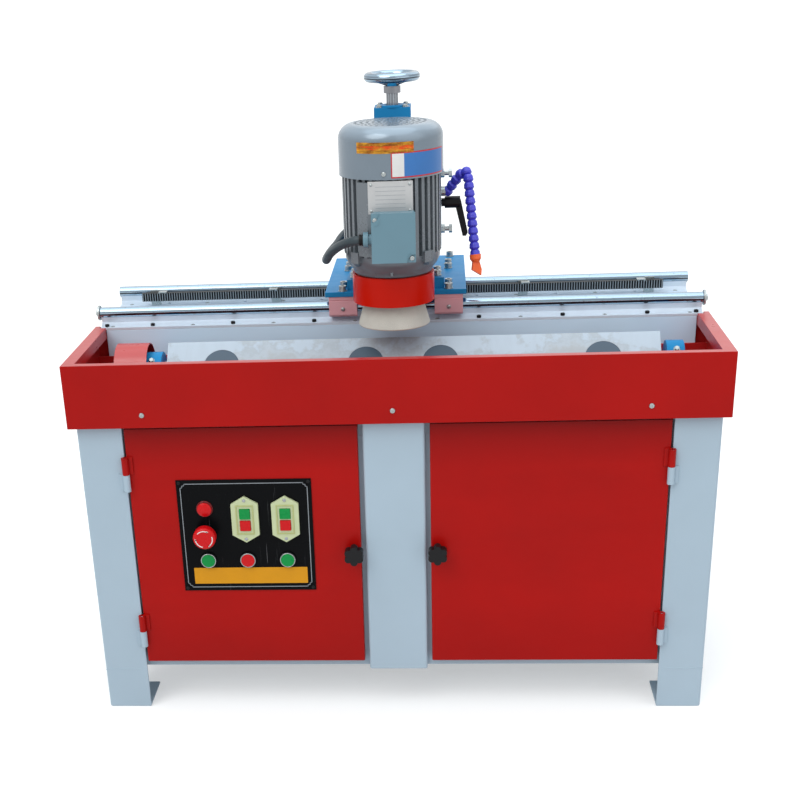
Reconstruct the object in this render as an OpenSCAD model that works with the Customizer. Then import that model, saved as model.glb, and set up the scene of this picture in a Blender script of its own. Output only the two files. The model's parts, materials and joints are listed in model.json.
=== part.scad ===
// Wet grinder for straight planer knives: cabinet stand, drip tray, tilting knife bed,
// rack-driven carriage on two supported round rails, dovetail column and cup-wheel head.
// X runs along the rails, Y from front to back, Z up. Sizes are in millimetres.
// Lengths in Y are counted from the tray's front face, and the whole is centred at the end.

/* [Stand] */
// Width over the legs
stand_w = 1078; // [960:2:1300]
// Depth over the legs
stand_d = 460; // [450:2:520]
// Height of the legs
stand_h = 543; // [500:1:620]
// Set-back of the legs behind the tray's front face
stand_set = 15; // [10:1:25]
// Width of each leg's front flange
leg_flange = 78; // [60:1:90]
// Width of each leg's side flange
leg_side = 90; // [60:1:120]
// Thickness of the leg sheet
leg_t = 4; // [3:0.5:6]
// Height of the cabinet floor above the ground
cabinet_z = 77.5; // [60:0.5:120]
// Width of the post between the doors
post_w = 104; // [90:1:130]
// Depth of the post's returns
post_d = 17.4; // [15:0.2:24]
// Thickness of the cabinet sheet
sheet_t = 2; // [1.5:0.5:3]
// Width of the flange along the top of each side sheet
side_flange = 30; // [20:1:45]

/* [Doors] */
// Gap between a door and the post
door_gap_post = 8.5; // [5:0.5:12]
// Gap between a door and its leg
door_gap_leg = 3; // [2:0.5:5]
// Gap above each door
door_gap_top = 6.5; // [4:0.5:12]
// Gap below each door, where the bottom bar shows
door_gap_bottom = 17; // [8:0.5:25]
// Outside diameter of the hinge barrels
hinge_d = 12; // [10:0.5:14]
// Diameter of the hinge pins
hinge_pin_d = 6; // [4:0.5:7]
// Length of a hinge, both barrels together
hinge_len = 61; // [44:1:80]
// Distance from the door's top edge to the upper hinge's top
hinge_top = 48.5; // [30:0.5:80]
// Distance from the door's bottom edge to the lower hinge's bottom
hinge_bottom = 33.5; // [20:0.5:80]
// Diameter of the star grips
grip_d = 35; // [28:1:42]
// Height of the star grips above the ground
grip_z = 309.5; // [280:0.5:340]

/* [Tray] */
// Overhang of the tray beyond each leg
tray_over = 11; // [5:1:20]
// Height of the tray
tray_h = 109; // [100:1:140]
// Width of the lip along the front
tray_lip = 16; // [10:0.5:25]
// Depth of the down-turned edge of the lips
tray_hem = 20; // [10:1:30]
// Height of the tray's low back wall
tray_back_h = 57; // [30:1:80]
// Length of the side wings behind the beam's front
tray_wing = 13.5; // [5:0.5:30]

/* [Beam and rails] */
// Inset of the beam from the outside of the legs, each side
beam_inset = 11; // [8:1:30]
// Depth of the beam
beam_d = 217.5; // [210:0.5:240]
// Height of the beam
beam_h = 104.4; // [98:0.2:130]
// Thickness of the beam's plates
beam_t = 6; // [4:0.5:10]
// Diameter of the rail shafts
rail_d = 20; // [16:0.5:20]
// Height of the shaft's axis above the beam
rail_h = 27; // [26:0.5:32]
// Width of the rail support
support_w = 45; // [40:0.5:48]
// Overhang of the rail shafts beyond the beam, each side
rail_over = 12; // [4:1:14]
// Pitch of the support's screws
screw_pitch = 147.5; // [100:0.5:200]

/* [Travel drive] */
// Module of the rack and pinion
gear_m = 1.5; // [1.5:0.5:2]
// Teeth on the pinion
pinion_z = 20; // [16:1:22]
// Width of the rack behind its tooth tips
rack_w = 14; // [12:0.5:16]
// Height of the rack and of the pinion's face
rack_h = 15; // [10:0.5:18]
// Height of the rack's underside above the beam
rack_lift = 15.6; // [12:0.1:18]
// Distance of the rack's end from the beam's end
rack_inset = 37; // [20:1:80]
// Thickness of the rack brackets
bracket_t = 2.3; // [1.5:0.1:2.6]
// Pitch of the rack brackets
bracket_pitch = 233; // [150:1:240]
// Side of the gear motor's square gearbox
gearbox_w = 90; // [70:1:96]
// Height of the gearbox
gearbox_h = 65; // [40:1:90]
// Height of the travel motor above its gearbox
travel_motor_h = 118; // [80:1:150]

/* [Knife bed] */
// Distance from the left leg's outside to the bed's left end
bed_left = 136; // [120:1:180]
// Distance from the right leg's outside to the bed's right end
bed_right = 83; // [75:1:140]
// Width of the bed along its slope
bed_w = 97; // [86:0.5:100]
// Thickness of the bed plate
bed_t = 10; // [8:0.5:11]
// Slope of the bed at rest
bed_slope = 45; // [30:1:50]
// Distance from the pivot axis to the bed's working face
bed_offset = 21.2; // [21.2:0.1:24]
// Shift of the bed's middle below the pivot, along the slope
bed_shift = 6; // [0:0.5:8]
// Height of the pivot above the tray floor
pivot_h = 50; // [50:0.5:60]
// Diameter of the tilt shaft
tilt_shaft_d = 20; // [14:0.5:20]
// Length of each tilt bearing along the shaft
tilt_bearing_l = 30; // [20:1:34]
// Radius of the tilt bearings' round tops
tilt_bearing_r = 32; // [24:0.5:36]
// Gap between the bed's ends and the bearings
tilt_gap = 8; // [6:0.5:12]
// Radius of the half-round cover
cover_r = 48; // [44:0.5:50]
// Length of the half-round cover
cover_l = 58; // [45:1:70]
// Diameter of the holding magnets
magnet_d = 63; // [40:1:70]
// Distance of the outer magnets from the bed's ends
magnet_end = 98; // [60:1:140]
// Half the distance between the two inner magnets
magnet_half = 65; // [45:1:90]

/* [Carriage] */
// Width of the carriage plate
plate_w = 250; // [240:1:320]
// Overhang of the plate in front of the front rail
plate_front = 26; // [25:0.5:30]
// Overhang of the plate behind the rear rail
plate_back = 103.5; // [60:0.5:120]
// Thickness of the carriage plate
plate_t = 9; // [8:0.5:14]
// Length of a bearing block along its rail
block_l = 50; // [40:1:56]
// Width of a bearing block
block_w = 48; // [44:0.5:48]
// Height of a block's top above the shaft's axis
block_top = 23; // [19:0.5:26]
// Depth of a block below the shaft's axis
block_low = 13; // [10:0.5:14]
// Distance of the blocks' middles from the plate's middle
block_x = 94; // [85:1:96]

/* [Column and slide] */
// Width of the column foot
foot_w = 172; // [150:1:180]
// Depth of the column foot
foot_d = 83; // [80:1:86]
// Thickness of the column foot
foot_t = 18; // [12:0.5:24]
// Height of the column above its foot
column_h = 260.6; // [258:0.2:290]
// Width of the column's back
column_w = 100; // [96:1:110]
// Depth of the column's back
column_d = 45; // [36:0.5:50]
// Width of the dovetail's front
dovetail_w = 88; // [80:0.5:90]
// Width of the dovetail's neck
neck_w = 68; // [60:0.5:70]
// Depth of the dovetail
dovetail_d = 16; // [12:0.5:18]
// Width of the slot for the lead screw
slot_w = 28; // [28:0.5:34]
// Width of the head slide
slide_w = 164; // [156:1:170]
// Height of the head slide
slide_h = 160; // [150:1:170]
// Thickness of the slide in front of the dovetail
slide_web = 14; // [10:0.5:18]
// Height of the slide above the column foot at rest
slide_lift = 55.6; // [45:0.2:60]
// Thickness of the gib strip
gib_t = 8; // [5:0.5:9]
// Diameter of the lead screw
screw_d = 16; // [12:0.5:18]
// Travel of the head for one turn of the lead screw
screw_lead = 4; // [2:0.5:6]
// Height of the bearing block on the column's top
top_block_h = 25; // [16:0.5:30]
// Diameter of the handwheel
wheel_d = 96; // [80:1:104]
// Diameter of the handwheel's rim section
rim_d = 15.6; // [10:0.2:16]

/* [Motor and wheel] */
// Height of the motor's axis above its feet
motor_h = 90; // [88:0.5:96]
// Radius of the motor frame between the fins
frame_r = 74; // [66:0.5:76]
// Height of the cooling fins
fin_h = 8; // [5:0.5:9]
// Thickness of each fin
fin_t = 6; // [3:0.5:7]
// Number of fins round the frame
fin_n = 40; // [24:4:48]
// Length of the finned frame
frame_l = 126; // [120:1:140]
// Length of the end bell
bell_h = 36; // [24:0.5:40]
// Radius of the fan cowl
cowl_r = 86.5; // [86:0.5:88]
// Length of the fan cowl
cowl_l = 80; // [70:1:84]
// Radius of the cowl's shoulder
cowl_f = 24; // [10:1:26]
// Diameter of the motor shaft
shaft_d = 24; // [19:0.5:28]
// Width of the terminal box
box_w = 71; // [60:1:76]
// Height of the terminal box
box_h = 79; // [60:1:82]
// Depth of the terminal box with its lid
box_d = 33; // [24:0.5:40]
// Radius of the wheel guard
guard_r = 69.5; // [68:0.5:70]
// Height of the wheel guard
guard_h = 48; // [40:0.5:52]
// Radius of the cup wheel's grinding rim
cup_r = 62.5; // [55:0.5:63]
// Height of the cup wheel
cup_h = 54; // [50:0.5:56]
// Depth of the cup wheel's rim below the guard
cup_drop = 41; // [36:0.5:44]

/* [Hose and lead] */
// Diameter of the coolant hose's beads
bead_d = 17.2; // [14:0.2:18]
// Pitch of the beads
bead_pitch = 12.5; // [11.5:0.1:13]
// Diameter of the motor lead
lead_d = 15; // [10:0.5:15]

/* [Controls] */
// Width of the control panel
panel_w = 234; // [228:1:260]
// Height of the control panel
panel_h = 208; // [190:1:230]
// Thickness of the control panel
panel_t = 2; // [1.5:0.5:3]
// Distance of the side columns of controls from the middle one
column_pitch = 70; // [66:0.5:74]
// Diameter of the round controls' bezels
bezel_d = 27.5; // [26:0.5:30]
// Diameter of the round push buttons
button_d = 23.2; // [22.4:0.2:24]
// Diameter of the emergency stop's head
stop_d = 40; // [36:0.5:42]
// Height of the emergency stop above the panel's middle
stop_z = 7; // [0:0.5:8]
// Side of the square push buttons
key_w = 18.4; // [15:0.2:19]

/* [Fits] */
// Radial clearance of a shaft that turns in its bore
run_fit = 0.05; // [0.02:0.01:0.1]
// Clearance of a piece seated in its place
seat_fit = 0.02; // [0.01:0.01:0.05]
// Clearance of flat faces that slide
slide_fit = 0.15; // [0.1:0.05:0.3]
// Clearance between neighbours that move past each other
free_gap = 0.3; // [0.2:0.05:0.5]

/* [Hidden] */
$fn = 64;

// Stand
leg_x = stand_w / 2;
stand_back = stand_set + stand_d;
bend_r = leg_t + 2;
side_x = leg_x - leg_t - sheet_t;
frame_y = stand_set + post_d;
frame_back = frame_y + sheet_t;
back_y = stand_back - leg_t - sheet_t;
bar_h = 29.5;
strip_w = 15;
outer_strip_w = 93;

// Doors
door_x0 = post_w / 2 + door_gap_post;
door_x1 = leg_x - leg_flange - door_gap_leg;
door_z0 = cabinet_z + door_gap_bottom;
door_z1 = stand_h - door_gap_top;
door_w = door_x1 - door_x0;
door_h = door_z1 - door_z0;
door_mid = (door_x0 + door_x1) / 2;
door_d = post_d - 1.4;
hinge_x = door_x1 + door_gap_leg / 2;
hinge_y = stand_set - hinge_d / 2;
hinge_leaf = 12.5;
barrel_l = (hinge_len - free_gap) / 2;
hinge_z = [door_z0 + hinge_bottom, door_z1 - hinge_top - hinge_len];
latch_x = post_w / 2 + 20;
latch_shaft_d = 8;
latch_hub_r = 5.5;
cam_gap = 0.5;
cam_t = 3.1;
cam_l = 24;

// Tray, beam and rails
tray_x = leg_x + tray_over;
beam_x = leg_x - beam_inset;
beam_y = stand_back - beam_d;
beam_top = stand_h + beam_h;
tray_end = beam_y + tray_wing;
lip_gap = 0.5;
lip_x = beam_x + lip_gap;
rail_x = beam_x + rail_over;
rail_front = beam_y + support_w / 2;
rail_rear = stand_back - support_w / 2;
rail_z = beam_top + rail_h;
support_end = 2;
flange_h = 4.5;
cap_d = 27;
cap_t = 4;

// Travel drive
rail_block_gap = 0.7;
rack_back = rail_rear - block_w / 2 - rail_block_gap - bracket_t;
rack_tip = rack_back - rack_w;
rack_z = beam_top + rack_lift;
pitch_r = gear_m * pinion_z / 2;
tooth_pitch = PI * gear_m;
pinion_y = rack_tip + gear_m - pitch_r;
pressure = 20;
backlash = 0.2;
pinion_shaft_d = 12;

// Carriage and column
block_z = rail_z + block_top;
plate_z = block_z + plate_t;
plate_y = rail_front - plate_front;
plate_end = rail_rear + plate_back;
foot_y = plate_y + 15;
foot_z = plate_z + foot_t;
dovetail_y = foot_y + 15;
column_y = dovetail_y + dovetail_d;
column_z = foot_z + column_h;
screw_y = dovetail_y + 22;
slot_end = screw_y + slot_w / 2 + 6;
top_z = column_z + top_block_h;
top_block_w = 62;
pinion_gap = 1;
gearmotor_y = max(pinion_y - gearbox_w / 2, foot_y + foot_d + pinion_gap);

// Head
slide_y = dovetail_y - slide_web;
slide_z = foot_z + slide_lift;
slide_x = slide_w / 2;
side_y = dovetail_y + dovetail_d / 2;
clamp_z = slide_z + 70;
gib_screw_z = [slide_z + 25, slide_z + 119];
nut_z = slide_z + 60;
nut_h = 40;
motor_y = slide_y - motor_h;
frame_z = slide_z + 13;
cowl_z = frame_z + frame_l;
cowl_top = cowl_z + cowl_l;
bell_z = frame_z - bell_h;
guard_z = bell_z - guard_h;
cup_z = guard_z - cup_drop;
bell_top_r = frame_r + 6;
bell_low_r = guard_r - 3.5;
cowl_t = 2;
pad_y = motor_y - frame_r - fin_h - 2;
box_y = pad_y - box_d;
box_x = 5.5;
box_z = frame_z;
pad_w = 75;
pad_facet = 16;
tail_d = shaft_d * 0.75;

// Knife bed: the pivot lies under the cup wheel's axis
pivot_y = motor_y;
pivot_z = stand_h + sheet_t + pivot_h - 2;
bed_x0 = -leg_x + bed_left;
bed_x1 = leg_x - bed_right;
left_bearing_x = bed_x0 - tilt_gap - tilt_bearing_l;
right_bearing_x = bed_x1 + tilt_gap;
cheek_t = 8;
cover_x = left_bearing_x + 7 - cover_l;

// Controls, counted from the middle of the panel
panel_x = -door_mid;
panel_z = (door_z0 + door_z1) / 2 + 25;
panel_y = stand_set - panel_t;
row_z = -44.5;
lamp_z = 51.5;
unit_z = 32;
unit_w = 47.5;
unit_h = 85;
unit_t = 6;
key_pitch = 21.5;
barrel_d = 22;
stem_d = 15.9;
stop_reach = 32;
key_travel = 3;
stop_travel = 6;

// The whole is centred between the emergency stop's face and the plate's back edge
centre_y = (plate_end + panel_y - stop_reach) / 2;

// Route of the motor lead round the left of the head, chosen by hand and counted from its gland
gland_at = [box_x - box_w / 2 - 15, pad_y - 14, frame_z + 35];
lead_head = [for (p = [[0, 0, 0], [-8, 0, 0], [-21, 6, -3], [-40, 29, -13], [-59, 62, -31], [-68, 90, -48],
                       [-70, 108, -51]]) gland_at + p];
lead_carriage = [for (p = [[-70, 108, -51], [-69, 128, -50], [-64, 156, -45], [-54, 186, -38], [-49, 214, -32],
                           [-39, 240, -27], [-23, 260, -24], [-17, 272, -23], [-17, 284, -23]]) gland_at + p];

// Bearings of the hose's beads: rise and heading in degrees, from the root to the nozzle
arm_n = 4;
drop_n = 11;
root = [slide_x + 11, slide_y + 13, slide_z + 90];
function rise(i) = i < arm_n - 1 ? 50 : i == arm_n - 1 ? 22 : i == arm_n ? -52 : -77;
function heading(i) = i < arm_n ? -26 : -66;
function bead_step(i) = bead_pitch * [cos(rise(i)) * cos(heading(i)), cos(rise(i)) * sin(heading(i)),
                                      sin(rise(i))];
function bead(i) = i == 0 ? root : bead(i - 1) + bead_step(i - 1);

module placed() {
    translate([0, -centre_y, 0]) children();
}

module both_sides() {
    children();
    mirror([1, 0, 0]) children();
}

// A bent angle of sheet: a along X, b along Y, outside corner at the origin
module sheet_angle(a, b, t, r) {
    translate([r, 0]) square([a - r, t]);
    translate([0, r]) square([t, b - r]);
    translate([r, r]) intersection() {
        difference() {
            circle(r);
            circle(r - t);
        }
        translate([-r, -r]) square(r);
    }
}

// A bent channel, open towards +Y, centred on X
module sheet_channel(w, d, t, r) {
    for (s = [0, 1]) mirror([s, 0]) translate([-w / 2, 0]) sheet_angle(w / 2, d, t, r);
}

// Points along X: a profile in (Y, Z) drawn as (x, y) and pulled along X
module along_x(x0, length) {
    translate([x0, 0, 0]) rotate([90, 0, 90]) linear_extrude(length) children();
}

module rod_x(x0, length, y, z, d, sides = 64) {
    translate([x0, y, z]) rotate([0, 90, 0]) cylinder(d = d, h = length, $fn = sides);
}

module rod_y(x, y0, length, z, d, sides = 64) {
    translate([x, y0, z]) rotate([-90, 0, 0]) cylinder(d = d, h = length, $fn = sides);
}

module hex_x(x0, length, y, z, across) {
    rod_x(x0, length, y, z, across / cos(30), 6);
}

// ---- stand ----

module leg() {
    translate([leg_x, stand_set, 0]) mirror([1, 0, 0]) {
        linear_extrude(stand_h) sheet_angle(leg_flange, leg_side, leg_t, bend_r);
        translate([leg_t / 2, leg_t / 2, 0]) cube([leg_flange - leg_t / 2, leg_side - leg_t / 2, leg_t]);
    }
}

module legs() {
    color("lightsteelblue") placed() both_sides() {
        leg();
        translate([0, stand_set + stand_back, 0]) mirror([0, 1, 0]) leg();
    }
}

module centre_post() {
    color("lightsteelblue") placed() translate([0, stand_set, cabinet_z])
        linear_extrude(stand_h - cabinet_z) sheet_channel(post_w, post_d, 3, 5);
}

module frame_bar(x0, x1, z0, z1) {
    translate([x0, frame_y, z0]) cube([x1 - x0, sheet_t, z1 - z0]);
}

module door_frame() {
    low = cabinet_z + bar_h;
    high = stand_h - bar_h;
    joint = 0.1;
    color("lightsteelblue") placed() {
        frame_bar(-side_x, side_x, cabinet_z, low);
        frame_bar(-side_x, side_x, high, stand_h);
        both_sides() {
            frame_bar(post_w / 2 - 3, post_w / 2 - 3 + strip_w, low + joint, high - joint);
            frame_bar(side_x - outer_strip_w, side_x, low + joint, high - joint);
        }
    }
}

module side_panels() {
    y0 = stand_set + bend_r;
    length = stand_back - bend_r - y0;
    color("lightsteelblue") placed() both_sides() {
        translate([side_x, y0, cabinet_z]) cube([sheet_t, length, stand_h - cabinet_z]);
        translate([side_x + sheet_t - side_flange, frame_back, stand_h - sheet_t])
            cube([side_flange, back_y - frame_back, sheet_t]);
    }
}

module back_panel() {
    color("lightsteelblue") placed() translate([-side_x, back_y, cabinet_z])
        cube([2 * side_x, sheet_t, stand_h - cabinet_z]);
}

module cabinet_floor() {
    color("lightsteelblue") placed() translate([-side_x, frame_back, cabinet_z])
        cube([2 * side_x, back_y - frame_back, sheet_t]);
}

// ---- tray, beam and rails ----

module bed_beam() {
    color("lightblue") placed() translate([-beam_x, beam_y, stand_h]) difference() {
        cube([2 * beam_x, beam_d, beam_h]);
        translate([beam_t, beam_t, -1]) cube([2 * (beam_x - beam_t), beam_d - 2 * beam_t, beam_h - beam_t + 1]);
    }
}

module water_tray() {
    top = stand_h + tray_h;
    open_x = rail_x + lip_gap;
    color("firebrick") placed() {
        difference() {
            union() {
                // walls and floor
                difference() {
                    translate([-tray_x, 0, stand_h]) cube([2 * tray_x, tray_end, tray_h]);
                    translate([sheet_t - tray_x, sheet_t, stand_h + sheet_t])
                        cube([2 * (tray_x - sheet_t), tray_end - 2 * sheet_t, tray_h]);
                }
                // lips round the opening, with their down-turned hems
                difference() {
                    union() {
                        translate([-tray_x, 0, top - sheet_t]) cube([2 * tray_x, tray_end, sheet_t]);
                        translate([-lip_x - sheet_t, tray_lip - sheet_t, top - tray_hem])
                            cube([2 * (lip_x + sheet_t), tray_end - tray_lip + sheet_t, tray_hem]);
                    }
                    translate([-lip_x, tray_lip, top - tray_hem - 1]) cube([2 * lip_x, tray_end, tray_hem + 2]);
                }
            }
            // the wings clear the beam, and above it the rails
            translate([-lip_x, beam_y, stand_h - 1]) cube([2 * lip_x, tray_end, tray_h + 2]);
            translate([-open_x, beam_y, beam_top - 1]) cube([2 * open_x, tray_end, tray_h]);
        }
        translate([-tray_x, beam_y - sheet_t, stand_h]) cube([2 * tray_x, sheet_t, tray_back_h]);
    }
}

module support_section() {
    half = support_w / 2;
    difference() {
        polygon([[-half, 0], [half, 0], [half, flange_h], [11, 6], [5, 10.5], [5, 13.5], [7.5, rail_h - 6.5],
                 [-7.5, rail_h - 6.5], [-5, 13.5], [-5, 10.5], [-11, 6], [-half, flange_h]]);
        translate([0, rail_h]) circle(d = rail_d + 2 * seat_fit);
    }
}

module rail_support(y) {
    length = 2 * (rail_x - support_end);
    span = floor((rail_x - 2 * support_end) / (screw_pitch / 2));
    difference() {
        translate([0, y, beam_top]) along_x(-length / 2, length) support_section();
        for (i = [-span : span], row = [-1, 1])
            translate([i * screw_pitch / 2, y + row * support_w / 3, beam_top - 1])
                cylinder(d = 6, h = flange_h + 4);
    }
}

module rail_supports() {
    color("gainsboro") placed() {
        rail_support(rail_front);
        rail_support(rail_rear);
    }
}

module rail_shafts() {
    color("silver") placed() for (y = [rail_front, rail_rear]) rod_x(-rail_x, 2 * rail_x, y, rail_z, rail_d);
}

module rail_end_caps() {
    color("slategray") placed() both_sides() {
        rod_x(rail_x, cap_t, rail_front, rail_z, cap_d);
        hex_x(rail_x + cap_t, 4, rail_front, rail_z, 10);
    }
}

// ---- travel drive ----

module rack_outline(n) {
    lean = tan(pressure);
    half = tooth_pitch / 4 - backlash / 4;
    root_y = gear_m * 1.25;
    points = [for (i = [0 : n - 1]) let (x = (i - n / 2 + 0.5) * tooth_pitch) each [
        [x - half - root_y * lean, root_y], [x - half + gear_m * lean, -gear_m],
        [x + half - gear_m * lean, -gear_m], [x + half + root_y * lean, root_y]]];
    edge = n / 2 * tooth_pitch;
    polygon(concat([[-edge, root_y]], points, [[edge, root_y], [edge, rack_w - gear_m], [-edge, rack_w - gear_m]]));
}

module gear_rack() {
    n = 2 * floor((beam_x - rack_inset) / tooth_pitch);
    color("dimgray") placed() translate([0, rack_tip + gear_m, rack_z]) linear_extrude(rack_h) rack_outline(n);
}

module rack_brackets() {
    n = floor((beam_x - rack_inset - 20) / bracket_pitch);
    w = 18;
    color("silver") placed() for (i = [-n : n]) translate([i * bracket_pitch - w / 2, rack_back, beam_top + flange_h + 3 * free_gap]) {
        cube([w, bracket_t, rack_lift + rack_h - flange_h - 3 * free_gap + 4]);
        cube([w, 9, bracket_t]);
    }
}

// Half the angle of a tooth at radius r
function inv(a) = tan(a) * 180 / PI - a;
function tooth_half(r, rb) = 90 / pinion_z - backlash * 90 / PI / pitch_r / 2 + inv(pressure)
    - (r <= rb ? 0 : inv(acos(rb / r)));

module pinion_outline() {
    rb = pitch_r * cos(pressure);
    root_r = pitch_r - 1.25 * gear_m;
    radii = [root_r, rb, rb + (pitch_r + gear_m - rb) / 3, rb + (pitch_r + gear_m - rb) * 2 / 3, pitch_r + gear_m];
    polygon([for (i = [0 : pinion_z - 1]) let (mid = 90 + i * 360 / pinion_z) each concat(
        [for (k = [0 : 4]) let (a = mid - tooth_half(radii[k], rb)) radii[k] * [cos(a), sin(a)]],
        [for (k = [4 : -1 : 0]) let (a = mid + tooth_half(radii[k], rb)) radii[k] * [cos(a), sin(a)]])]);
}

module travel_pinion() {
    color("gray") placed() translate([0, pinion_y, 0]) {
        translate([0, 0, rack_z]) linear_extrude(rack_h) pinion_outline();
        translate([0, 0, rack_z + rack_h]) cylinder(d = 20, h = block_z - rack_z - rack_h - free_gap);
        cylinder_between(pinion_shaft_d, rack_z, plate_z + gearbox_h / 2);
    }
}

module cylinder_between(d, z0, z1) {
    translate([0, 0, z0]) cylinder(d = d, h = z1 - z0);
}

module travel_gearmotor() {
    top = plate_z + gearbox_h;
    motor_d = gearbox_w - 4;
    lead_end = lead_carriage[len(lead_carriage) - 1];
    gland_l = 12;
    color("dimgray") placed() {
        difference() {
            union() {
                translate([-gearbox_w / 2, gearmotor_y, plate_z]) cube([gearbox_w, gearbox_w, gearbox_h]);
                translate([0, gearmotor_y + gearbox_w / 2, 0]) {
                    cylinder_between(motor_d, top, top + travel_motor_h);
                    for (i = [0 : 5]) cylinder_between(motor_d + 3, top + 12 + i * 14, top + 19 + i * 14);
                }
                // terminal housing and its gland on the left
                translate([lead_end[0] - 14, lead_end[1] + gland_l, lead_end[2] - 22])
                    cube([-lead_end[0] + 14 - gearbox_w / 2 + 12, 44, 44]);
                rod_y(lead_end[0], lead_end[1] + free_gap, gland_l + 1 - free_gap, lead_end[2], lead_d + 6);
            }
            translate([0, pinion_y, 0]) cylinder_between(pinion_shaft_d + 2 * run_fit, plate_z - 1, plate_z + gearbox_h / 2 + 1);
        }
    }
}

// ---- knife bed ----

// The bed's own plane: X along it, Y up its slope, Z out of its face, at the pivot
module on_bed() {
    translate([0, pivot_y, pivot_z]) rotate([bed_slope, 0, 0]) children();
}

function magnet_x() = [bed_x0 + magnet_end, 14 - magnet_half, 14 + magnet_half, bed_x1 - magnet_end];

module knife_bed() {
    low = -bed_w / 2 - bed_shift;
    under = bed_offset - bed_t;
    color("lightsteelblue") placed() on_bed() difference() {
        union() {
            translate([bed_x0, low, under]) cube([bed_x1 - bed_x0, bed_w, bed_t]);
            for (x = [bed_x0, bed_x1 - cheek_t]) along_x(x, cheek_t) {
                circle(r = tilt_shaft_d / 2 + 8);
                polygon([[-tilt_shaft_d / 2 - 8, 0], [-tilt_shaft_d / 2 - 18, under + 1],
                         [tilt_shaft_d / 2 + 18, under + 1], [tilt_shaft_d / 2 + 8, 0]]);
            }
        }
        rod_x(bed_x0 - 1, bed_x1 - bed_x0 + 2, 0, 0, tilt_shaft_d + 2 * seat_fit);
        for (x = magnet_x()) translate([x, -bed_shift, under - 1]) cylinder(d = magnet_d + 4 * seat_fit, h = bed_t + 2);
        translate([14, -bed_shift, under - 1]) cylinder(d = 8, h = bed_t + 2);
    }
}

module bed_magnets() {
    color("darkslategray") placed() on_bed() {
        for (x = magnet_x()) translate([x, -bed_shift, bed_offset - bed_t]) cylinder(d = magnet_d, h = bed_t);
    }
}

module tilt_shaft() {
    x0 = left_bearing_x - 28;
    disc_t = 10;
    color("silver") placed() on_bed() {
        rod_x(x0, right_bearing_x + tilt_bearing_l - x0, 0, 0, tilt_shaft_d);
        hex_x(bed_x0 - tilt_gap + free_gap, tilt_gap - 2 * free_gap, 0, 0, tilt_shaft_d + 7);
        rod_x(bed_x1 + free_gap, tilt_gap - 2 * free_gap, 0, 0, tilt_shaft_d + 8);
        rod_x(x0, disc_t, 0, 0, 2 * tilt_bearing_r - 4);
    }
}

module tilt_bearing(x) {
    floor_z = stand_h + sheet_t;
    difference() {
        along_x(x, tilt_bearing_l) {
            translate([pivot_y, pivot_z]) circle(r = tilt_bearing_r);
            translate([pivot_y - tilt_bearing_r, floor_z]) square([2 * tilt_bearing_r, pivot_z - floor_z]);
        }
        rod_x(x - 1, tilt_bearing_l + 2, pivot_y, pivot_z, tilt_shaft_d + 2 * run_fit);
    }
}

module tilt_bearings() {
    color("steelblue") placed() {
        tilt_bearing(left_bearing_x);
        tilt_bearing(right_bearing_x);
    }
}

module cover_section(r) {
    floor_z = stand_h + sheet_t;
    translate([pivot_y, pivot_z]) circle(r = r);
    translate([pivot_y - r, floor_z]) square([2 * r, pivot_z - floor_z]);
}

module tilt_cover() {
    color("firebrick") placed() {
        along_x(cover_x, cover_l) difference() {
            cover_section(cover_r);
            cover_section(cover_r - sheet_t);
        }
        along_x(cover_x, sheet_t) cover_section(cover_r);
    }
}

// ---- cabinet contents ----

tank = [300, 220, 180];
tank_x = 130;
tank_y = 130;
pump_x = tank_x + 60;
pump_y = tank_y + tank[1] / 2;
tank_top = cabinet_z + sheet_t + tank[2];

module coolant_tank() {
    color("lightslategray") placed() translate([tank_x, tank_y, cabinet_z + sheet_t]) difference() {
        cube(tank);
        translate([sheet_t, sheet_t, sheet_t]) cube([tank[0] - 2 * sheet_t, tank[1] - 2 * sheet_t, tank[2]]);
    }
}

module coolant_pump() {
    flange = [120, tank[1], sheet_t];
    motor_d = 92;
    motor_l = 96;
    outlet_d = 18;
    color("darkslategray") placed() {
        translate([tank_x, tank_y, tank_top]) cube(flange);
        translate([pump_x, pump_y, 0]) {
            cylinder_between(motor_d - 52, cabinet_z + sheet_t + 28, tank_top);
            cylinder_between(motor_d + 18, tank_top + sheet_t, tank_top + 14);
            cylinder_between(motor_d, tank_top + 14, tank_top + 14 + motor_l);
            cylinder_between(motor_d + 6, tank_top + motor_l, tank_top + motor_l + 28);
        }
        rod_y(pump_x, pump_y - motor_d / 2 - 29, motor_d / 2, tank_top + 24, outlet_d);
    }
}

module electric_panel() {
    board = [260, 3, 240];
    board_x = -430;
    board_z = 210;
    relay = [45, 78, 74];
    relay_pitch = 62;
    cover = 29;
    strip = [215, 42, 48];
    color("gainsboro") placed() translate([board_x, back_y - board[1], board_z]) {
        cube(board);
        for (i = [0 : 2]) translate([25 + i * relay_pitch, -relay[1], 130]) {
            cube([relay[0], relay[1] + 0.5, relay[2]]);
            translate([(relay[0] - cover) / 2, -8, 17]) cube([cover, 9, relay[2] - 34]);
        }
        translate([20, -strip[1], 30]) cube([strip[0], strip[1] + 0.5, strip[2]]);
    }
}

// ---- doors and their fittings ----

module hinge_barrel(z, leaf_side, bore) {
    difference() {
        union() {
            translate([hinge_x, hinge_y, z]) cylinder(d = hinge_d, h = barrel_l);
            translate([leaf_side < 0 ? hinge_x - hinge_leaf : hinge_x, hinge_y + hinge_d / 4, z])
                cube([hinge_leaf, hinge_d / 4, barrel_l]);
        }
        if (bore > 0) translate([hinge_x, hinge_y, z - 1]) cylinder(d = bore, h = barrel_l + 2);
    }
}

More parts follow.
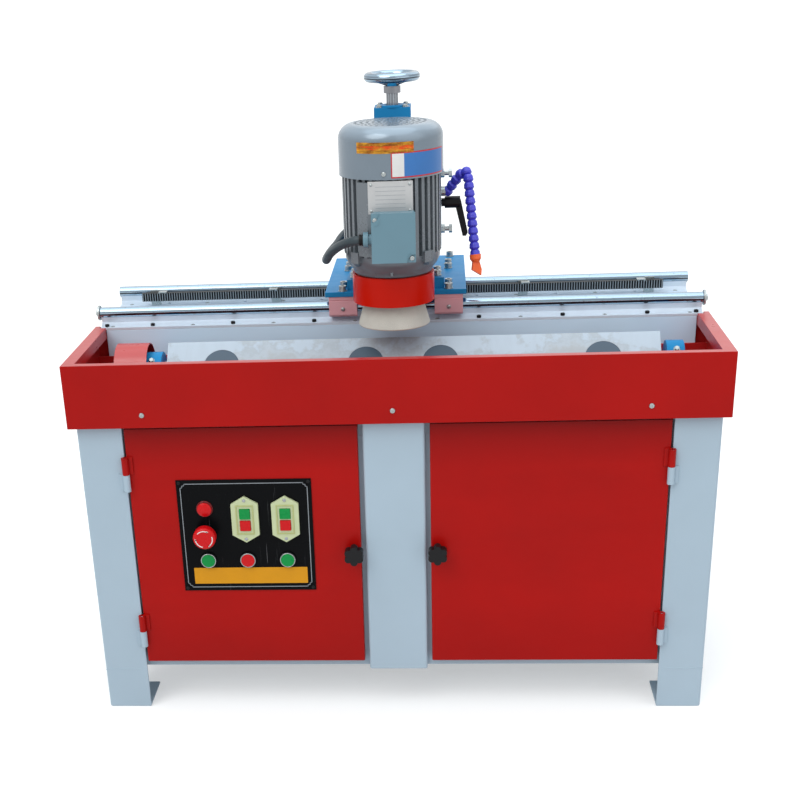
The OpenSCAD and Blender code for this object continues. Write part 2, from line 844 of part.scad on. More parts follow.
module door() {
    difference() {
        union() {
            translate([door_mid, stand_set, door_z0]) {
                linear_extrude(door_h) sheet_channel(door_w, door_d, sheet_t, sheet_t + 1);
                for (z = [0, door_h - sheet_t])
                    translate([-door_w / 2 + sheet_t / 2, sheet_t / 2, z]) cube([door_w - sheet_t, door_d - sheet_t / 2, sheet_t]);
            }
            for (z = hinge_z) hinge_barrel(z + barrel_l + free_gap, -1, hinge_pin_d + 2 * run_fit);
        }
        rod_y(latch_x, stand_set - 1, sheet_t + 2, grip_z, latch_shaft_d + 2 * run_fit);
    }
}

module right_door() {
    color("firebrick") placed() door();
}

module left_door() {
    edge = 10;
    color("firebrick") placed() difference() {
        mirror([1, 0, 0]) door();
        translate([panel_x - panel_w / 2 + edge, stand_set - 1, panel_z - panel_h / 2 + edge])
            cube([panel_w - 2 * edge, sheet_t + 2, panel_h - 2 * edge]);
    }
}

module hinge_pins() {
    pin_l = barrel_l * 2 + free_gap - 2;
    color("lightsteelblue") placed() both_sides() for (z = hinge_z) {
        hinge_barrel(z, 1, 0);
        translate([hinge_x, hinge_y, z]) cylinder(d = hinge_pin_d, h = pin_l);
    }
}

module star_grip() {
    head_t = 17;
    neck = 11;
    lobe_r = 6.5;
    cam_y = frame_back + cam_gap;
    translate([latch_x, 0, grip_z]) {
        translate([0, stand_set - free_gap - neck, 0]) rotate([90, 0, 0]) {
            linear_extrude(head_t) {
                circle(d = grip_d - 11);
                for (i = [0 : 5]) rotate(i * 60 + 30) translate([grip_d / 2 - lobe_r, 0]) circle(r = lobe_r);
            }
            translate([0, 0, -neck]) cylinder(r1 = 9, r2 = 7, h = neck);
        }
        rotate([-90, 0, 0]) cylinder_between(latch_shaft_d, stand_set - 4, cam_y + cam_t);
        translate([0, cam_y, 0]) rotate([-90, 0, 0]) linear_extrude(cam_t) {
            circle(r = latch_hub_r);
            translate([-latch_hub_r + 1, -cam_l]) square([2 * latch_hub_r - 2, cam_l]);
        }
    }
}

module right_latch() {
    color("black") placed() star_grip();
}

module left_latch() {
    color("black") placed() mirror([1, 0, 0]) star_grip();
}

// A place on the panel, counted from its middle
module on_panel(x, z) {
    translate([panel_x + x, 0, panel_z + z]) children();
}

module round_places() {
    for (x = [-column_pitch, 0, column_pitch]) on_panel(x, row_z) children();
}

module unit_places() {
    for (x = [0, column_pitch]) on_panel(x, unit_z) children();
}

module control_panel() {
    color("black") placed() difference() {
        translate([panel_x - panel_w / 2, panel_y, panel_z - panel_h / 2]) cube([panel_w, panel_t, panel_h]);
        round_places() rod_y(0, panel_y - 1, panel_t + 2, 0, barrel_d + 2 * run_fit);
        on_panel(-column_pitch, lamp_z) rod_y(0, panel_y - 1, panel_t + 2, 0, barrel_d + 2 * run_fit);
        on_panel(-column_pitch, stop_z) rod_y(0, panel_y - 1, panel_t + 2, 0, barrel_d + 2 * run_fit);
        unit_places() translate([-unit_w / 2 + 5, panel_y - 1, -unit_h / 2 + 12]) cube([unit_w - 10, panel_t + 2, unit_h - 24]);
    }
}

// Bezel in front, threaded barrel through the panel and contact block behind
bezel_floor = 1;
module fitting(front) {
    barrel_back = panel_y + panel_t + 14;
    block_d = 26;
    difference() {
        union() {
            rod_y(0, panel_y - front, front, 0, bezel_d);
            rod_y(0, panel_y - 1, barrel_back - panel_y + 1, 0, barrel_d);
            rod_y(0, panel_y + panel_t, 4, 0, barrel_d + 5, 6);
            translate([-15, barrel_back - 1, -12]) cube([30, block_d, 24]);
        }
        rod_y(0, panel_y - front - 1, front + 2 + key_travel, 0, barrel_d - 2 + 2 * free_gap);
        rod_y(0, panel_y - front - 1, front + 1 - bezel_floor, 0, button_d + 2 * free_gap);
        rod_y(0, panel_y - 1, 24, 0, stem_d + 2 * run_fit);
    }
}

module panel_fittings() {
    color("silver") placed() {
        round_places() fitting(5.5);
        on_panel(-column_pitch, stop_z) fitting(8);
    }
}

module pilot_lamp() {
    lens_r = 12.5;
    color("red") placed() on_panel(-column_pitch, lamp_z) {
        translate([0, panel_y, 0]) rotate([90, 0, 0]) rotate_extrude() intersection() {
            translate([0, -14.5]) circle(r = 24);
            square([lens_r, 9.5]);
        }
        rod_y(0, panel_y - 1, 30, 0, barrel_d);
    }
}

module round_cap(reach) {
    rod_y(0, panel_y - reach, reach - key_travel - bezel_floor - free_gap, 0, button_d);
    rod_y(0, panel_y - reach, reach + 1, 0, barrel_d - 2);
    rod_y(0, panel_y, 14, 0, stem_d);
}

module travel_left_button() {
    color("green") placed() on_panel(-column_pitch, row_z) round_cap(6.5);
}

module travel_stop_button() {
    color("red") placed() on_panel(0, row_z) round_cap(6.5);
}

module travel_right_button() {
    color("green") placed() on_panel(column_pitch, row_z) round_cap(6.5);
}

module estop_button() {
    head_t = 16;
    neck = stop_reach - head_t;
    color("red") placed() on_panel(-column_pitch, stop_z) {
        translate([0, panel_y - neck, 0]) rotate([90, 0, 0]) rotate_extrude() intersection() {
            union() {
                square([stop_d / 2, head_t - 6]);
                translate([stop_d / 2 - 6, head_t - 6]) circle(r = 6);
                square([stop_d / 2 - 6, head_t]);
            }
            square([stop_d, head_t]);
        }
        rod_y(0, panel_y - neck - 1, neck + 15, 0, stem_d);
    }
}

// An elongated hexagon: flat sides and pointed ends
module unit_outline() {
    half = unit_w / 2;
    tip = 14;
    polygon([[-half, -unit_h / 2 + tip], [0, -unit_h / 2], [half, -unit_h / 2 + tip],
             [half, unit_h / 2 - tip], [0, unit_h / 2], [-half, unit_h / 2 - tip]]);
}

module switch_units() {
    window = key_w + 2 * free_gap;
    color("beige") placed() unit_places() difference() {
        union() {
            translate([0, panel_y, 0]) rotate([90, 0, 0]) linear_extrude(unit_t) unit_outline();
            translate([-unit_w / 2 + 6, panel_y - 1, -unit_h / 2 + 13]) cube([unit_w - 12, 36, unit_h - 26]);
        }
        for (s = [-1, 1]) translate([-window / 2, panel_y - unit_t - 1, s * key_pitch / 2 - window / 2])
            cube([window, unit_t + 16, window]);
    }
}

module key(column, s) {
    on_panel(column, unit_z + s * key_pitch / 2) translate([-key_w / 2, panel_y - unit_t - 2.5, -key_w / 2])
        cube([key_w, unit_t + 8, key_w]);
}

module wheel_on_button() { color("green") placed() key(0, 1); }
module wheel_off_button() { color("red") placed() key(0, -1); }
module pump_on_button() { color("green") placed() key(column_pitch, 1); }
module pump_off_button() { color("red") placed() key(column_pitch, -1); }

// ---- carriage ----

module plate_outline() {
    translate([-plate_w / 2, plate_y]) square([plate_w, plate_end - plate_y]);
}

module carriage_plate() {
    pilot = 30;
    color("steelblue") placed() difference() {
        translate([0, 0, block_z]) linear_extrude(plate_t) plate_outline();
        translate([0, pinion_y, block_z - 1]) cylinder(d = pilot, h = plate_t + 2);
    }
}

module block_section() {
    half = block_w / 2;
    mouth = 8;
    difference() {
        polygon([[-half, -block_low + 4], [-half + 4, -block_low], [half - 4, -block_low], [half, -block_low + 4],
                 [half, block_top - 8], [half - 1.5, block_top - 8], [half - 1.5, block_top - 6],
                 [half, block_top - 6], [half, block_top], [-half, block_top], [-half, block_top - 6],
                 [-half + 1.5, block_top - 6], [-half + 1.5, block_top - 8], [-half, block_top - 8]]);
        circle(d = rail_d + 2 * run_fit);
        translate([-mouth, -block_low - 1]) square([2 * mouth, block_low]);
    }
}

module bearing_blocks() {
    color("rosybrown") placed() for (x = [-block_x, block_x], y = [rail_front, rail_rear])
        difference() {
            translate([0, y, rail_z]) along_x(x - block_l / 2, block_l) block_section();
            rod_y(x, y - block_w / 2 - 1, 4, rail_z + 1, 5);
        }
}

module cap_bolt(x, y, z) {
    washer_d = 15.5;
    head_d = 13;
    head_h = 8;
    translate([x, y, z]) difference() {
        union() {
            cylinder(d = washer_d, h = 1.6);
            cylinder(d = head_d, h = 1.6 + head_h);
        }
        translate([0, 0, 5]) cylinder(d = 6 / cos(30), h = head_h, $fn = 6);
    }
}

module plate_bolts() {
    block_bolt = 17.5;
    color("silver") placed() {
        for (x = [-block_x, block_x], y = [rail_front, rail_rear], s = [-1, 1])
            if (abs(x) > foot_w / 2 || y > foot_y + foot_d) cap_bolt(x, y + s * block_bolt, plate_z);
        for (x = [-block_x - 3, block_x + 3]) cap_bolt(x, plate_end - 13, plate_z);
        for (x = [-1, 1], y = [20, 50]) cap_bolt(x * (foot_w / 2 - 12), foot_y + y, foot_z);
    }
}

module column_section() {
    difference() {
        union() {
            translate([-column_w / 2, column_y]) square([column_w, column_d]);
            polygon([[-neck_w / 2, column_y + 1], [-neck_w / 2, column_y], [-dovetail_w / 2, dovetail_y],
                     [dovetail_w / 2, dovetail_y], [neck_w / 2, column_y], [neck_w / 2, column_y + 1]]);
        }
        translate([-slot_w / 2, dovetail_y - 1]) square([slot_w, slot_end - dovetail_y + 1]);
    }
}

module slide_column() {
    color("steelblue") placed() difference() {
        union() {
            translate([-foot_w / 2, foot_y, plate_z]) cube([foot_w, foot_d, foot_t]);
            translate([0, 0, foot_z]) linear_extrude(column_h) column_section();
            translate([-top_block_w / 2, dovetail_y, column_z])
                cube([top_block_w, column_y + column_d - dovetail_y, top_block_h]);
        }
        translate([0, screw_y, column_z - 1]) cylinder(d = screw_d + 2 * run_fit, h = top_block_h + 2);
    }
}

// ---- head ----

module slide_section() {
    reach = slide_y + slide_web + dovetail_d - slide_fit;
    front = dovetail_y - slide_fit;
    left = slide_fit;
    right = 2 * slide_fit + gib_t;
    difference() {
        translate([-slide_x, slide_y]) square([slide_w, reach - slide_y]);
        polygon([[-dovetail_w / 2 - left, front], [dovetail_w / 2 + right, front],
                 [neck_w / 2 + right, column_y], [neck_w / 2 + right, column_y + 1],
                 [-neck_w / 2 - left, column_y + 1], [-neck_w / 2 - left, column_y]]);
    }
}

module head_slide() {
    color("steelblue") placed() difference() {
        translate([0, 0, slide_z]) linear_extrude(slide_h) slide_section();
        for (z = gib_screw_z) rod_x(dovetail_w / 2, slide_x, side_y, z, 8 + 2 * run_fit);
        rod_x(dovetail_w / 2, slide_x, side_y, clamp_z, 8 + 2 * run_fit);
    }
}

module slide_fittings() {
    front = dovetail_y - slide_fit;
    gib_x = slide_fit;
    screw_end = neck_w / 2 + (dovetail_w - neck_w) / 4 + gib_t + 2 * slide_fit;
    nut_w = slot_w - 3;
    color("silver") placed() {
        // gib strip
        translate([0, 0, slide_z + 2]) linear_extrude(slide_h - 4) polygon([
            [dovetail_w / 2 + gib_x, front + slide_fit], [dovetail_w / 2 + gib_x + gib_t, front + slide_fit],
            [neck_w / 2 + gib_x + gib_t, column_y - slide_fit], [neck_w / 2 + gib_x, column_y - slide_fit]]);
        // gib screws with their locknuts
        for (z = gib_screw_z) {
            rod_x(screw_end + 2.6, slide_x + 14 - screw_end - 2.6, side_y, z, 8);
            hex_x(slide_x, 6, side_y, z, 13);
            hex_x(slide_x + 13, 6, side_y, z, 13);
        }
        // lead screw nut
        difference() {
            translate([-nut_w / 2, front, nut_z]) cube([nut_w, screw_y + nut_w / 2 - front, nut_h]);
            translate([0, screw_y, nut_z - 1]) cylinder(d = screw_d + 2 * run_fit, h = nut_h + 2);
        }
        // ball seat of the coolant hose
        difference() {
            rod_x(slide_x, root[0] - slide_x, root[1], root[2], bead_d - 1);
            translate(root) sphere(d = bead_d + 2 * free_gap);
        }
    }
}

module motor_section() {
    circle(r = frame_r);
    for (i = [0 : fin_n - 1]) rotate((i + 0.5) * 360 / fin_n) translate([0, -fin_t / 2]) square([frame_r + fin_h, fin_t]);
}

module motor_foot() {
    foot_plate = 12;
    x1 = slide_x - 3;
    x0 = x1 - 30;
    translate([0, 0, frame_z + 8]) linear_extrude(frame_l - 16) polygon([
        [frame_r * 0.5, -frame_r * 0.6 + motor_h], [x1 - 8, motor_h - foot_plate - 12], [x1, motor_h - foot_plate],
        [x1, motor_h], [x0, motor_h], [x0, motor_h - foot_plate], [frame_r * 0.2, frame_r * 0.8]]);
}

module motor_frame() {
    lug_n = 4;
    shield_h = 10;
    color("dimgray") placed() translate([0, motor_y, 0]) difference() {
        union() {
            translate([0, 0, frame_z]) linear_extrude(frame_l) motor_section();
            both_sides() motor_foot();
            // pad for the terminal box and the nameplate, with a facet on its left
            translate([0, pad_y - motor_y, frame_z + 4]) linear_extrude(frame_l - 8) polygon([
                [-pad_w / 2, 0], [pad_w / 2, 0], [pad_w / 2, frame_r / 2], [-pad_w / 2 - pad_facet, frame_r / 2],
                [-pad_w / 2 - pad_facet, pad_facet * 0.8]]);
            // end bell, turned, with its four lugs
            rotate_extrude() polygon([[0, bell_z], [bell_low_r - 6, bell_z],
                [bell_low_r - 6, bell_z + 2], [bell_low_r, bell_z + 2], [bell_low_r + 2, bell_z + 8],
                [bell_top_r - 5, bell_z + bell_h * 0.45], [bell_top_r, bell_z + bell_h * 0.75],
                [bell_top_r, frame_z], [0, frame_z]]);
            for (i = [0 : lug_n - 1]) rotate(45 + i * 360 / lug_n) translate([bell_top_r - 10, -9, frame_z - 10])
                cube([frame_r + fin_h + 5 - bell_top_r + 10, 18, 18]);
            // shield at the fan end, with the cowl's seats
            cylinder_between(2 * frame_r, cowl_z, cowl_z + shield_h);
            for (i = [0 : lug_n - 1]) rotate(i * 360 / lug_n) translate([frame_r - 8, -8, cowl_z])
                cube([cowl_r - cowl_t - seat_fit * 5 - frame_r + 8 - 0.5, 16, shield_h]);
        }
        cylinder_between(shaft_d + 2 * run_fit, bell_z - 1, cowl_z);
        cylinder_between(tail_d + 2 * run_fit, cowl_z - 1, cowl_z + shield_h + 1);
    }
}

module cowl_section(r, h, f) {
    square([r - f, h]);
    square([r, h - f]);
    intersection() {
        translate([r - f, h - f]) circle(r = f);
        translate([r - f, h - f]) square(f);
    }
}

module motor_cowl() {
    f = cowl_f;
    rings = 6;
    ring_pitch = 9.6;
    color("dimgray") placed() translate([0, motor_y, cowl_z]) difference() {
        rotate_extrude() difference() {
            cowl_section(cowl_r, cowl_l, f);
            translate([0, -1]) cowl_section(cowl_r - cowl_t, cowl_l - cowl_t + 1, f - cowl_t);
        }
        for (k = [1 : rings], i = [0 : 6 * k - 1]) rotate(i * 60 / k) translate([k * ring_pitch, 0, cowl_l - cowl_t - 1])
            cylinder(d = 5.5, h = cowl_t + 2);
    }
}

module box_outline(w, h, notch) {
    difference() {
        translate([-w / 2, 0]) square([w, h]);
        for (c = [[-1, h], [1, 0]]) translate([c[0] * w / 2, c[1]]) circle(r = notch);
    }
}

module terminal_box() {
    lid = 9;
    gland = gland_at;
    gland_d = 25;
    color("lightslategray") placed() {
        translate([box_x, pad_y, box_z]) rotate([90, 0, 0]) {
            linear_extrude(box_d - lid) translate([-box_w / 2 + 2, 2]) square([box_w - 4, box_h - 4]);
            translate([0, 0, box_d - lid]) linear_extrude(lid - 3) translate([-box_w / 2, 0]) square([box_w, box_h]);
            translate([0, 0, box_d - 3]) linear_extrude(3) box_outline(box_w, box_h, 14);
        }
        rod_x(gland[0] + free_gap, box_x - box_w / 2 + 4 - gland[0] - free_gap, gland[1], gland[2], gland_d - 7);
        rod_x(gland[0] + 1, 8, gland[1], gland[2], gland_d);
    }
}

module wheel_guard() {
    wall = 3;
    color("red") placed() translate([0, motor_y, guard_z]) rotate_extrude() difference() {
        square([guard_r, guard_h]);
        translate([0, -1]) square([guard_r - wall, guard_h - wall + 1]);
        square([36, guard_h + 1]);
    }
}

module clamp_lever() {
    hub_l = 27;
    arm = [[slide_x + 30, 4], [slide_x + 41, -58]];
    color("black") placed() translate([0, side_y, clamp_z]) {
        rod_x(neck_w / 2 + gib_t + 8, slide_x - neck_w / 2 - gib_t, 0, 0, 8);
        rod_x(slide_x + free_gap, 6, 0, 0, 14);
        rod_x(slide_x + 6, hub_l, 0, 0, 20);
        rotate([90, 0, 0]) linear_extrude(10, center = true) {
            polygon([[arm[0][0] - 8, arm[0][1]], [arm[0][0] + 4, arm[0][1]], [arm[1][0] + 5, arm[1][1] + 6],
                     [arm[1][0] + 2, arm[1][1]], [arm[1][0] - 4, arm[1][1]], [arm[1][0] - 6, arm[1][1] + 8]]);
        }
    }
}

// ---- spindle and wheel ----

seat_z = cup_z + cup_h;
cup_web = 16;

module spindle() {
    flange_h = 10;
    fan_r = 72;
    blade_h = 30;
    fan_z = cowl_z + 24;
    blades = 8;
    color("silver") placed() translate([0, motor_y, 0]) {
        cylinder_between(shaft_d, seat_z - cup_web - 18, cowl_z - free_gap);
        cylinder_between(tail_d, cowl_z - 1, fan_z + blade_h + 4);
        cylinder_between(60, seat_z, seat_z + flange_h);
        cylinder_between(44, seat_z - cup_web - 5, seat_z - cup_web);
        translate([0, 0, seat_z - cup_web - 15]) cylinder(d = 36 / cos(30), h = 10, $fn = 6);
        // fan
        cylinder_between(2 * fan_r - 20, fan_z, fan_z + 3);
        cylinder_between(tail_d + 16, fan_z, fan_z + 16);
        for (i = [0 : blades - 1]) rotate(i * 360 / blades) translate([tail_d / 2 + 6, -1.5, fan_z])
            cube([fan_r - tail_d / 2 - 6, 3, blade_h]);
    }
}

module cup_wheel() {
    rim_w = 12;
    top_r = cup_r * 0.74;
    color("antiquewhite") placed() translate([0, motor_y, cup_z]) rotate_extrude() polygon([
        [shaft_d / 2 + seat_fit, cup_h - cup_web], [shaft_d / 2 + seat_fit, cup_h], [top_r, cup_h],
        [cup_r - 1, 2], [cup_r - 2, 0], [cup_r - rim_w, 0], [top_r - rim_w, cup_h - cup_web]]);
}

// ---- handwheel ----

module lead_screw() {
    color("silver") placed() translate([0, screw_y, 0]) cylinder_between(screw_d, foot_z + 4, top_z + 40);
}

module handwheel() {
    sleeve = 22;
    collar = 11;
    hub_z = top_z + sleeve + collar;
    rim_z = hub_z + 15;
    rim_r = (wheel_d - rim_d) / 2;
    spoke_r = rim_r - 9;
    lean = atan((rim_z - hub_z - 5) / spoke_r);
    color("silver") placed() translate([0, screw_y, 0]) difference() {
        union() {
            cylinder_between(18.8, top_z + free_gap, hub_z - collar);
            cylinder_between(29, hub_z - collar, hub_z);
            cylinder_between(22, hub_z, hub_z + 11);
            for (i = [0 : 2]) rotate(i * 120 + 90) translate([8, 0, hub_z + 4])
                rotate([0, 90 - lean, 0]) cylinder(d = 8, h = spoke_r / cos(lean));
            translate([0, 0, rim_z]) rotate_extrude() translate([rim_r, 0]) circle(d = rim_d);
        }
        cylinder_between(screw_d + 2 * seat_fit, top_z, top_z + 40);
    }
}

// ---- lead and hose ----

function smooth(p, i, t) =
    let (a = p[max(i - 1, 0)], b = p[i], c = p[min(i + 1, len(p) - 1)], d = p[min(i + 2, len(p) - 1)])
    0.5 * (2 * b + (c - a) * t + (2 * a - 5 * b + 4 * c - d) * t * t + (3 * b - a - 3 * c + d) * t * t * t);
function unit(v) = v / norm(v);

module tube(route, d) {
    steps = 3;
    sides = 12;
    n = (len(route) - 1) * steps;
    path = [for (k = [0 : n]) smooth(route, min(floor(k / steps), len(route) - 2),
                                     k == n ? 1 : k / steps - floor(k / steps))];
    rings = [for (k = [0 : n]) let (
        t = k == 0 ? unit(route[1] - route[0])
            : k == n ? unit(route[len(route) - 1] - route[len(route) - 2])
            : unit(path[k + 1] - path[k - 1]),
        side = unit(cross(t, [0, 0, 1])),
        up = cross(side, t))
        for (j = [0 : sides - 1]) path[k] + d / 2 * (cos(j * 360 / sides) * side + sin(j * 360 / sides) * up)];
    walls = [for (k = [0 : n - 1], j = [0 : sides - 1])
        [k * sides + j, k * sides + (j + 1) % sides, (k + 1) * sides + (j + 1) % sides, (k + 1) * sides + j]];
    polyhedron(rings, concat(walls, [[for (j = [sides - 1 : -1 : 0]) j], [for (j = [0 : sides - 1]) n * sides + j]]));
}

module head_lead() {
    end = lead_head[len(lead_head) - 1];
    color("darkslategray") placed() difference() {
        tube(lead_head, lead_d);
        translate([end[0] - lead_d, end[1] - free_gap / 2, end[2] - lead_d]) cube([2 * lead_d, lead_d, 2 * lead_d]);
    }
}

module carriage_lead() {
    start = lead_carriage[0];
    color("darkslategray") placed() difference() {
        tube(lead_carriage, lead_d);
        translate([start[0] - lead_d, start[1] + free_gap / 2 - lead_d, start[2] - lead_d])
            cube([2 * lead_d, lead_d, 2 * lead_d]);
    }
}

module beads(first, last) {
    for (i = [first : last]) translate(bead(i)) sphere(d = bead_d);
}

module hose_arm() {
    color("mediumblue") placed() beads(0, arm_n);
}

module hose_drop() {
    color("mediumblue") placed() difference() {
        beads(arm_n + 1, arm_n + drop_n);
        translate(bead(arm_n)) sphere(d = bead_d + 2 * free_gap);
    }
}

module hose_nozzle() {
    end = arm_n + drop_n;
    neck = 15;
    blade = 24;
    color("orangered") placed() translate(bead(end)) rotate([0, 90 - rise(end), heading(end)])
        rotate([0, 0, 90]) difference() {
        union() {
            translate([0, 0, 2]) cylinder(r = bead_d / 2 + 1.2, h = 8);
            translate([0, 0, 9]) cylinder(r1 = bead_d / 2 + 1.2, r2 = 6, h = neck - 9);
            translate([0, 0, neck - 1]) rotate([90, 0, 0]) linear_extrude(5, center = true)
                polygon([[-6, 0], [6, 0], [9, blade * 0.6], [7, blade], [-9, blade * 0.55]]);
        }
        sphere(d = bead_d + 2 * free_gap);
    }
}

legs();
centre_post();
door_frame();
side_panels();
back_panel();
cabinet_floor();
bed_beam();
water_tray();
rail_supports();
rail_shafts();
rail_end_caps();
gear_rack();
rack_brackets();
tilt_bearings();
tilt_cover();
coolant_tank();
coolant_pump();
electric_panel();
hinge_pins();
left_door();
control_panel();
panel_fittings();
pilot_lamp();
switch_units();
right_door();
left_latch();
right_latch();
estop_button();
travel_left_button();
travel_stop_button();
travel_right_button();
wheel_on_button();
wheel_off_button();
pump_on_button();
pump_off_button();
knife_bed();
bed_magnets();
tilt_shaft();
carriage_plate();
bearing_blocks();
plate_bolts();
slide_column();
travel_gearmotor();
carriage_lead();
travel_pinion();
handwheel();
lead_screw();
head_slide();
slide_fittings();
motor_frame();
motor_cowl();
terminal_box();
wheel_guard();
head_lead();
clamp_lever();
spindle();
cup_wheel();
hose_arm();
hose_drop();
hose_nozzle();
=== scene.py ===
import bpy
import json
import math
from mathutils import Matrix, Vector


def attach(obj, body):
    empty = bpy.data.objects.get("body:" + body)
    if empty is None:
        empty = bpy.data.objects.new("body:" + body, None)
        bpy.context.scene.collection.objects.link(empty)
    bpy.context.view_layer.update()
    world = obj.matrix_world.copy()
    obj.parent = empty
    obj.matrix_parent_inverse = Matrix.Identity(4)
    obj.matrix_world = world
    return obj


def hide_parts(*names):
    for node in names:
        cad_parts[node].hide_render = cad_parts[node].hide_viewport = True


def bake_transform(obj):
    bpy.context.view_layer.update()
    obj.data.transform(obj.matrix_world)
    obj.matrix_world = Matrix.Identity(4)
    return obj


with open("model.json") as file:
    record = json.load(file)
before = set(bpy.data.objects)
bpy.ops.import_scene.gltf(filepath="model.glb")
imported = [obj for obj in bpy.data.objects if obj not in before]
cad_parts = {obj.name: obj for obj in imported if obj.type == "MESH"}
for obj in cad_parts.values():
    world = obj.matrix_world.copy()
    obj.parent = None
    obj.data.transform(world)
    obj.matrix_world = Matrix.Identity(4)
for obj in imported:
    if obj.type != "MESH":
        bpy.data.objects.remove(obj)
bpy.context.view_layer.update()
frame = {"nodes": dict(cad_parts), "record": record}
scene = bpy.context.scene
cadNodes = frame["nodes"]
print("frame loaded:", len(cadNodes), "nodes")

middle = 268.5  # mm from the tray's front face to the middle of the whole


def at(x, d, z):
    # mm along the rails, behind the tray's front face and above the floor, made a place
    return Vector((x, d - middle, z)) / 1000


def moved(x, d, z):
    return Matrix.Translation(at(x, d, z))


def spun(angle, axis="Z"):
    return Matrix.Rotation(math.radians(angle), 4, axis)


camera = {
    "place": (0.0860, -2.4749, 1.2528),
    "turn": (-0.09914, 0.43975, -0.04888),  # to the left, down and tilt, in radians
    "lens": 62.47,
    "shift": (0.0983, 0.2581),
}


def makeCamera():
    turn, down, tilt = camera["turn"]
    data = bpy.data.cameras.new("camera")
    data.sensor_width = 36
    data.lens = camera["lens"]
    data.shift_x, data.shift_y = camera["shift"]
    data.clip_start, data.clip_end = 0.05, 200
    made = bpy.data.objects.new("camera", data)
    scene.collection.objects.link(made)
    made.matrix_world = (
        Matrix.Translation(camera["place"])
        @ Matrix.Rotation(-turn, 4, "Z")
        @ Matrix.Rotation(math.pi / 2 - down, 4, "X")
        @ Matrix.Rotation(tilt, 4, "Z")
    )
    scene.camera = made


makeCamera()
scene.view_settings.view_transform = "Standard"


class Wire:
    # one output of a node; an expression on wires adds its Math nodes
    def __init__(self, nodes, socket):
        self.nodes = nodes
        self.socket = socket

    def maths(self, kind, first, second):
        return self.nodes.node("ShaderNodeMath", {"operation": kind}, {0: first, 1: second})

    def __add__(self, other):
        return self.maths("ADD", self, other)

    def __sub__(self, other):
        return self.maths("SUBTRACT", self, other)

    def __rsub__(self, other):
        return self.maths("SUBTRACT", other, self)

    def __mul__(self, other):
        return self.maths("MULTIPLY", self, other)

    __radd__, __rmul__ = __add__, __mul__

    def above(self, edge):
        return self.maths("GREATER_THAN", self, edge)

    def below(self, edge):
        return self.maths("LESS_THAN", self, edge)


class Nodes:
    # a tree of nodes, and the kinds of node that the finishes are made of
    def __init__(self, tree):
        self.tree = tree
        tree.nodes.clear()

    def feed(self, socket, value):
        if isinstance(value, Wire):
            self.tree.links.new(value.socket, socket)
        elif isinstance(value, tuple) and len(value) == 3 and socket.type == "RGBA":
            socket.default_value = (*value, 1)
        else:
            socket.default_value = value

    def node(self, kind, settings=None, inputs=None, output=0):
        made = self.tree.nodes.new(kind)
        for name, value in (settings or {}).items():
            if name == "stops":
                elements = made.color_ramp.elements
                while len(elements) < len(value):
                    elements.new(0.5)
                for element, (place, colour) in zip(elements, value):
                    element.position = place
                    element.color = (*(colour if isinstance(colour, tuple) else (colour,) * 3), 1)
            else:
                setattr(made, name, value)
        for name, value in (inputs or {}).items():
            self.feed(made.inputs[name], value)
        return Wire(self, made.outputs[output])

    def place(self, scale=(1, 1, 1), turn=(0, 0, 0)):
        # the piece's own coordinates, in metres
        coords = self.node("ShaderNodeTexCoord", output=3)
        if scale == (1, 1, 1) and turn == (0, 0, 0):
            return coords
        inputs = {"Vector": coords, "Scale": scale, "Rotation": turn}
        return self.node("ShaderNodeMapping", {}, inputs)

    def noise(self, scale, detail=2, rough=0.5, where=None):
        return self.node("ShaderNodeTexNoise", {}, {
            "Vector": where or self.place(), "Scale": scale, "Detail": detail, "Roughness": rough})

    def cells(self, scale):
        return self.node("ShaderNodeTexVoronoi", {}, {"Vector": self.place(), "Scale": scale})

    def ramp(self, factor, *stops):
        return self.node("ShaderNodeValToRGB", {"stops": stops}, {0: factor})

    def fade(self, factor, low, high, start=0.0, end=1.0):
        # from start at low to end at high
        return self.ramp(factor, (low, start), (high, end))

    def mix(self, factor, first, second):
        inputs = {0: factor, 6: first, 7: second}
        return self.node("ShaderNodeMix", {"data_type": "RGBA"}, inputs, output=2)

    def mottled(self, factor, colour, dark, light):
        return self.mix(factor, shade(colour, dark), shade(colour, light))

    def part(self, axis, vector):
        return self.node("ShaderNodeSeparateXYZ", {}, {0: vector}, output="xyz".index(axis))

    def facing(self):
        # 0 where the surface looks down, 0.5 where it stands, 1 where it looks up
        return self.part("z", self.node("ShaderNodeNewGeometry", output=1)) * 0.5 + 0.5

    def bump(self, height, strength, depth):
        inputs = {"Height": height, "Strength": strength, "Distance": depth}
        return self.node("ShaderNodeBump", {}, inputs)

    def peel(self, strength):
        # the fine skin of sprayed paint
        return self.bump(self.noise(420), strength, 0.0004)


class Recipe(Nodes):
    # one material, built round its shader
    sockets = {"colour": "Base Color", "rough": "Roughness", "metal": "Metallic",
               "normal": "Normal", "gloss": "Specular IOR Level", "glow": "Emission Color",
               "glowStrength": "Emission Strength"}

    def __init__(self, name, **settings):
        self.material = bpy.data.materials.new(name)
        self.material.use_nodes = True
        super().__init__(self.material.node_tree)
        end = self.tree.nodes.new("ShaderNodeOutputMaterial")
        self.shader = self.tree.nodes.new("ShaderNodeBsdfPrincipled")
        self.tree.links.new(self.shader.outputs[0], end.inputs[0])
        self.set(**settings)

    def set(self, **values):
        for name, value in values.items():
            self.feed(self.shader.inputs[self.sockets[name]], value)
        return self.material


def linear(level):
    level /= 255
    return level / 12.92 if level <= 0.04045 else ((level + 0.055) / 1.055) ** 2.4


def tone(red, green, blue):
    # a colour as a screen shows it, 0 to 255, made linear
    return (linear(red), linear(green), linear(blue))


def shade(colour, share):
    return tuple(min(1, c * share) for c in colour)


